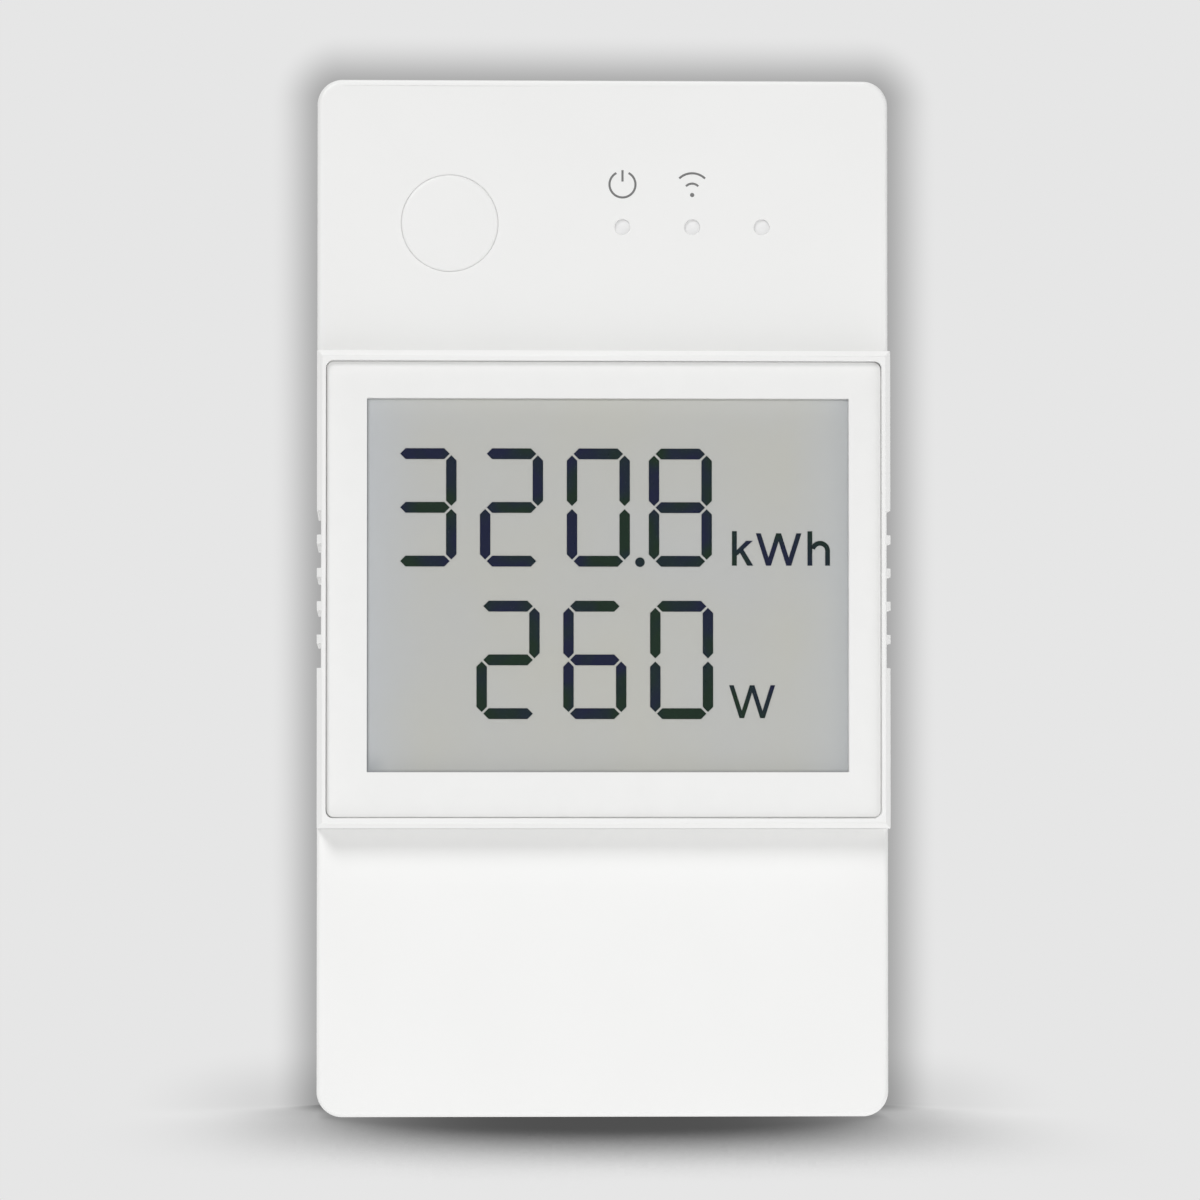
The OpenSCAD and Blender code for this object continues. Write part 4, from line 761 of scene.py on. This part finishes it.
def printedSigns():
    front, back, line = shoulderY - signs["proud"], shoulderY + signs["sunk"], signs["line"]
    power, wireless = [np.array(hole["centre"]) + (0, signs["rise"]) for hole in lightHoles[:2]]
    first, last = 90 + signs["ringGap"], 450 - signs["ringGap"]
    ring = strokeOutline(arcPath(power, signs["ring"], first, last, signs["ringSteps"]), line)
    bar = strokeOutline([power + (0, end) for end in signs["bar"]], line)
    flatPlates("powerSign", [ring, bar], front, back, signInk)
    heart = wireless - (0, signs["arcDrop"])
    waves = [strokeOutline(arcPath(heart, radius, 90 + half, 90 - half), line)
             for radius, half in signs["arcs"]]
    dot = discOutline(wireless - (0, signs["dotDrop"]), signs["dot"])
    flatPlates("wirelessSign", [*waves, dot], front, back, signInk)


printedSigns()
print("signs made")

# Clip spring: a circle of the wire's radius carried along a helix, closed by a flat cap at each end
spring = {"meanRadius": 1.0, "wire": 0.2, "turns": 8, "perTurn": 28, "sides": 12, "seat": 0.05, "keep": 0.6}


def clipSpring():
    low, high = nodeBox("clip_spring")
    axisX, axisY = 0.0, (low[1] + high[1]) / 2
    foot, head = low[2] + spring["wire"], high[2] - spring["wire"]
    count = spring["turns"] * spring["perTurn"] + 1
    turn = np.linspace(0, 2 * math.pi * spring["turns"], count)[:, None]
    slope = (head - foot) / (2 * math.pi * spring["turns"] * spring["meanRadius"])
    outward = np.concatenate([np.cos(turn), np.sin(turn), np.zeros_like(turn)], 1)
    upward = np.concatenate([slope * np.sin(turn), -slope * np.cos(turn), np.ones_like(turn)], 1)
    upward /= np.linalg.norm(upward, axis=1)[:, None]
    path = spring["meanRadius"] * outward + np.array([axisX, axisY, 0])
    path[:, 2] = np.linspace(foot, head, count)
    sides = spring["sides"]
    around = np.linspace(0, 2 * math.pi, sides, endpoint=False)[None, :, None]
    circle = np.cos(around) * outward[:, None] + np.sin(around) * upward[:, None]
    points = (path[:, None] + spring["wire"] * circle).reshape(-1, 3)
    faces = gridFaces(count, sides)
    faces.append(list(range(sides))[::-1])
    faces.append(list(range(len(points) - sides, len(points))))
    mesh = meshFrom("clipSpringWire", points, [face[::-1] for face in faces])
    smoothFaces(mesh)
    piece = addPiece("clipSpringWire", mesh, finish["spring"], "housing")
    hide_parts("clip_spring")
    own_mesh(piece)


clipSpring()
print("spring made")

# Stage: a floor and a backdrop just behind the part, both in the background's own colour, so that no horizon
# shows. Both carry a painted soft shadow of the part, and neither is there for a camera behind or below it.
stage = {"background": "#E6E6E6", "ambient": 0.33, "bounce": 0.95, "floorRadius": 300.0, "floorDrop": 0.02,
         "floorRings": 24, "floorSides": 96, "wallGap": 0.3, "wallReach": 60.0}
wallY = backY + stage["wallGap"]
# The floor's painted light: the share of directions on one side that the part leaves open, as if from a broad
# light
# there: "hidden" to "open" become "least" to 1, to a power and not under "darkest". The painted shade falls
# off past a half width to each side.
floorShade = {"reach": 130.0, "from": (0.0, 1.0, 0.0), "samples": 64, "hidden": 0.35, "open": 0.88,
              "least": 0.1, "power": 4.5, "darkest": 0.1, "halfWidth": 34.0, "fall": 4.0}
# Painted shade close to a box, by the distance outside it over a scale in mm, from "near" to "far": a painted
# shadow round the part's outline and along the foot where the wall meets the floor.
wallShade = {"centre": (1.1, wallY, 1.5), "half": (outerX - 1.1, 0, outerZ - 1.1), "scale": (1, 3, 1),
             "near": 0.9, "far": 7.1, "dark": 0.45}  # the part's outline, moved a little right and up
footShade = {"centre": (0, wallY, 0), "half": (outerX, 0, 0), "scale": (20, 35, 6),
             "near": 0.0, "far": 1.0, "dark": 0.8}  # where the wall meets the floor


def viewRays(tree):  # 1 for rays that show the background: from the camera, mirrored or through clear parts
    path = addNode(tree, "LightPath").outputs
    seen = path["Is Camera Ray"]
    for kind in ("Is Glossy Ray", "Is Transmission Ray"):
        seen = addNode(tree, "Math", {0: seen, 1: path[kind]}, operation="MAXIMUM").outputs[0]
    return seen


def addStage(name, points, faces, material):
    sheet = bpy.data.objects.new(name, meshFrom(name, points, faces))
    bpy.context.collection.objects.link(sheet)
    sheet.data.materials.append(material)
    sheet.visible_shadow = False


def paperSurface(tree, light, otherRays):  # seen by the camera, from its front only, at a share of the light
    paper = addNode(tree, "Emission", {"Color": linear(stage["background"]), "Strength": light}).outputs[0]
    clear = addNode(tree, "BsdfTransparent").outputs[0]
    behind = addNode(tree, "NewGeometry").outputs["Backfacing"]
    seen = addNode(tree, "LightPath").outputs["Is Camera Ray"]
    shown = addNode(tree, "MixShader", {0: behind, 1: paper, 2: clear}).outputs[0]
    mixed = addNode(tree, "MixShader", {0: seen, 1: otherRays or clear, 2: shown})
    addNode(tree, "OutputMaterial", {"Surface": mixed.outputs[0]})


def shadeNear(tree, coords, shade):  # share of the light left close to a box, smooth over its reach
    centre, half = np.array(shade["centre"]) * mm, np.array(shade["half"]) * mm
    offset = addNode(tree, "VectorMath", {0: coords, 1: centre}, operation="SUBTRACT").outputs[0]
    away = addNode(tree, "VectorMath", {0: offset}, operation="ABSOLUTE").outputs[0]
    past = addNode(tree, "VectorMath", {0: away, 1: half}, operation="SUBTRACT").outputs[0]
    beyond = addNode(tree, "VectorMath", {0: past, 1: (0, 0, 0)}, operation="MAXIMUM").outputs[0]
    scale = np.array(shade["scale"]) * mm
    scaled = addNode(tree, "VectorMath", {0: beyond, 1: scale}, operation="DIVIDE").outputs[0]
    distance = addNode(tree, "VectorMath", {0: scaled}, operation="LENGTH").outputs["Value"]
    limits = {1: shade["near"], 2: shade["far"], 3: shade["dark"], 4: 1.0}
    return addNode(tree, "MapRange", {0: distance, **limits}, interpolation_type="SMOOTHSTEP").outputs[0]


def wallLight(tree, coords):
    outline, foot = shadeNear(tree, coords, wallShade), shadeNear(tree, coords, footShade)
    return addNode(tree, "Math", {0: outline, 1: foot}, operation="MULTIPLY").outputs[0]


def acrossShare(tree, coords):
    # 1 / e to the power p, where p is the distance from the middle over the half width, to the power "fall"
    across = addNode(tree, "SeparateXYZ", {0: coords}).outputs["X"]
    away = addNode(tree, "Math", {0: across}, operation="ABSOLUTE").outputs[0]
    scaled = addNode(tree, "Math", {0: away, 1: floorShade["halfWidth"] * mm}, operation="DIVIDE").outputs[0]
    fall = addNode(tree, "Math", {0: scaled, 1: floorShade["fall"]}, operation="POWER").outputs[0]
    return addNode(tree, "Math", {0: 1 / math.e, 1: fall}, operation="POWER").outputs[0]


# painted shadow: the floor's darkness is computed into its emission from occlusion; its glow to other rays
# stands in for bounced light
def paleFloor():  # darker where the part hides a broad light behind it; to other rays a light table
    radius = np.linspace(0.0, stage["floorRadius"], stage["floorRings"])[1:]
    turn = np.linspace(0, 2 * math.pi, stage["floorSides"], endpoint=False)
    points = np.stack([radius[:, None] * np.cos(turn), radius[:, None] * np.sin(turn),
                       np.full((len(radius), len(turn)), -stage["floorDrop"])], -1).reshape(-1, 3)
    faces = [face[::-1] for face in gridFaces(len(radius), len(turn))]
    faces.append(list(range(len(turn))))
    material, tree, coords = startMaterial("paperMatt")
    way = addNode(tree, "CombineXYZ", dict(enumerate(floorShade["from"]))).outputs[0]
    unhidden = addNode(tree, "AmbientOcclusion", {"Distance": floorShade["reach"] * mm, "Normal": way},
                       samples=floorShade["samples"]).outputs["AO"]
    share = addNode(tree, "MapRange", {0: unhidden, 1: floorShade["hidden"], 2: floorShade["open"],
                                       3: floorShade["least"], 4: 1.0}).outputs[0]
    shaded = addNode(tree, "Math", {0: share, 1: floorShade["power"]}, operation="POWER").outputs[0]
    shaded = addNode(tree, "Math", {0: shaded, 1: floorShade["darkest"]}, operation="MAXIMUM").outputs[0]
    lost = addNode(tree, "Math", {0: shaded, 1: 1.0}, operation="SUBTRACT").outputs[0]
    kept = addNode(tree, "Math", {0: lost, 1: acrossShare(tree, coords), 2: 1.0},
                   operation="MULTIPLY_ADD").outputs[0]
    light = addNode(tree, "Math", {0: kept, 1: wallLight(tree, coords)}, operation="MULTIPLY").outputs[0]
    glow = addNode(tree, "Emission", {"Strength": stage["bounce"]}).outputs[0]
    paperSurface(tree, light, glow)
    addStage("paleFloor", points, faces, material)


# painted shadow: the wall darkens round the part's outline and along its foot, by distance from fixed boxes
def paleWall():  # the background's own colour, clear to all rays but the camera's
    left, right = -outerX - stage["wallReach"], outerX + stage["wallReach"]
    low, high = -stage["floorDrop"], outerZ + stage["wallReach"]
    points = [(left, wallY, low), (right, wallY, low), (right, wallY, high), (left, wallY, high)]
    material, tree, coords = startMaterial("backdropPaper")
    paperSurface(tree, wallLight(tree, coords), None)
    addStage("paleWall", points, [(0, 1, 2, 3)], material)


# Soft lamps, each with its place and size in m and its power in W, all aimed at the part's middle
lampAim = (0.0, 0.0, 0.05)
lamps = {
    "keyLamp": ((-0.42, -0.8, 0.68), 0.4, 5.3),
    "topLamp": ((0.0, 0.03, 0.7), 0.3, 0.9),
    "fillLamp": ((0.36, -0.32, 0.03), 0.3, 0.43),
    "lowLamp": ((0.13, -0.12, -0.05), 0.1, 0.045),
}


def studioLight():
    world = bpy.data.worlds.new("studioWorld")
    bpy.context.scene.world = world
    world.use_nodes = True
    tree = world.node_tree
    tree.nodes.clear()
    ambient = addNode(tree, "Background", {"Color": (1, 1, 1, 1), "Strength": stage["ambient"]})
    shown = addNode(tree, "Background", {"Color": linear(stage["background"]), "Strength": 1.0})
    mixed = addNode(tree, "MixShader", {0: viewRays(tree), 1: ambient.outputs[0], 2: shown.outputs[0]})
    addNode(tree, "OutputWorld", {"Surface": mixed.outputs[0]})
    for name, (place, size, power) in lamps.items():
        lamp = bpy.data.lights.new(name, "AREA")
        lamp.size = size
        lamp.energy = power
        holder = bpy.data.objects.new(name, lamp)
        holder.location = place
        aim = np.array(lampAim) - np.array(place)
        holder.rotation_euler = (math.atan2(math.hypot(aim[0], aim[1]), -aim[2]), 0,
                                 math.atan2(aim[1], aim[0]) - math.pi / 2)
        holder.visible_camera = False
        bpy.context.collection.objects.link(holder)


# The photo's view: degrees, metres, and the point aimed at in mm
view = {"azimuth": -2.0, "elevation": -1.5, "distance": 0.64, "frameW": 0.1134, "aim": (-0.28, -12.0, 48.77),
        "sensor": 36.0, "clip": (0.01, 20.0)}


def photoCamera():
    camera = bpy.data.cameras.new("photoCamera")
    camera.sensor_width = view["sensor"]
    camera.lens = camera.sensor_width * view["distance"] / view["frameW"]
    turn, lift = math.radians(view["azimuth"]), math.radians(view["elevation"])
    back = np.array([math.sin(turn) * math.cos(lift), -math.cos(turn) * math.cos(lift), math.sin(lift)])
    holder = bpy.data.objects.new("photoCamera", camera)
    holder.location = (np.array(view["aim"]) * mm + back * view["distance"]).tolist()
    holder.rotation_euler = (math.pi / 2 - lift, 0, turn)
    camera.clip_start, camera.clip_end = view["clip"]
    bpy.context.collection.objects.link(holder)
    bpy.context.scene.camera = holder


paleFloor()
paleWall()
studioLight()
photoCamera()
bpy.context.scene.view_settings.view_transform = "Standard"
print("stage set")
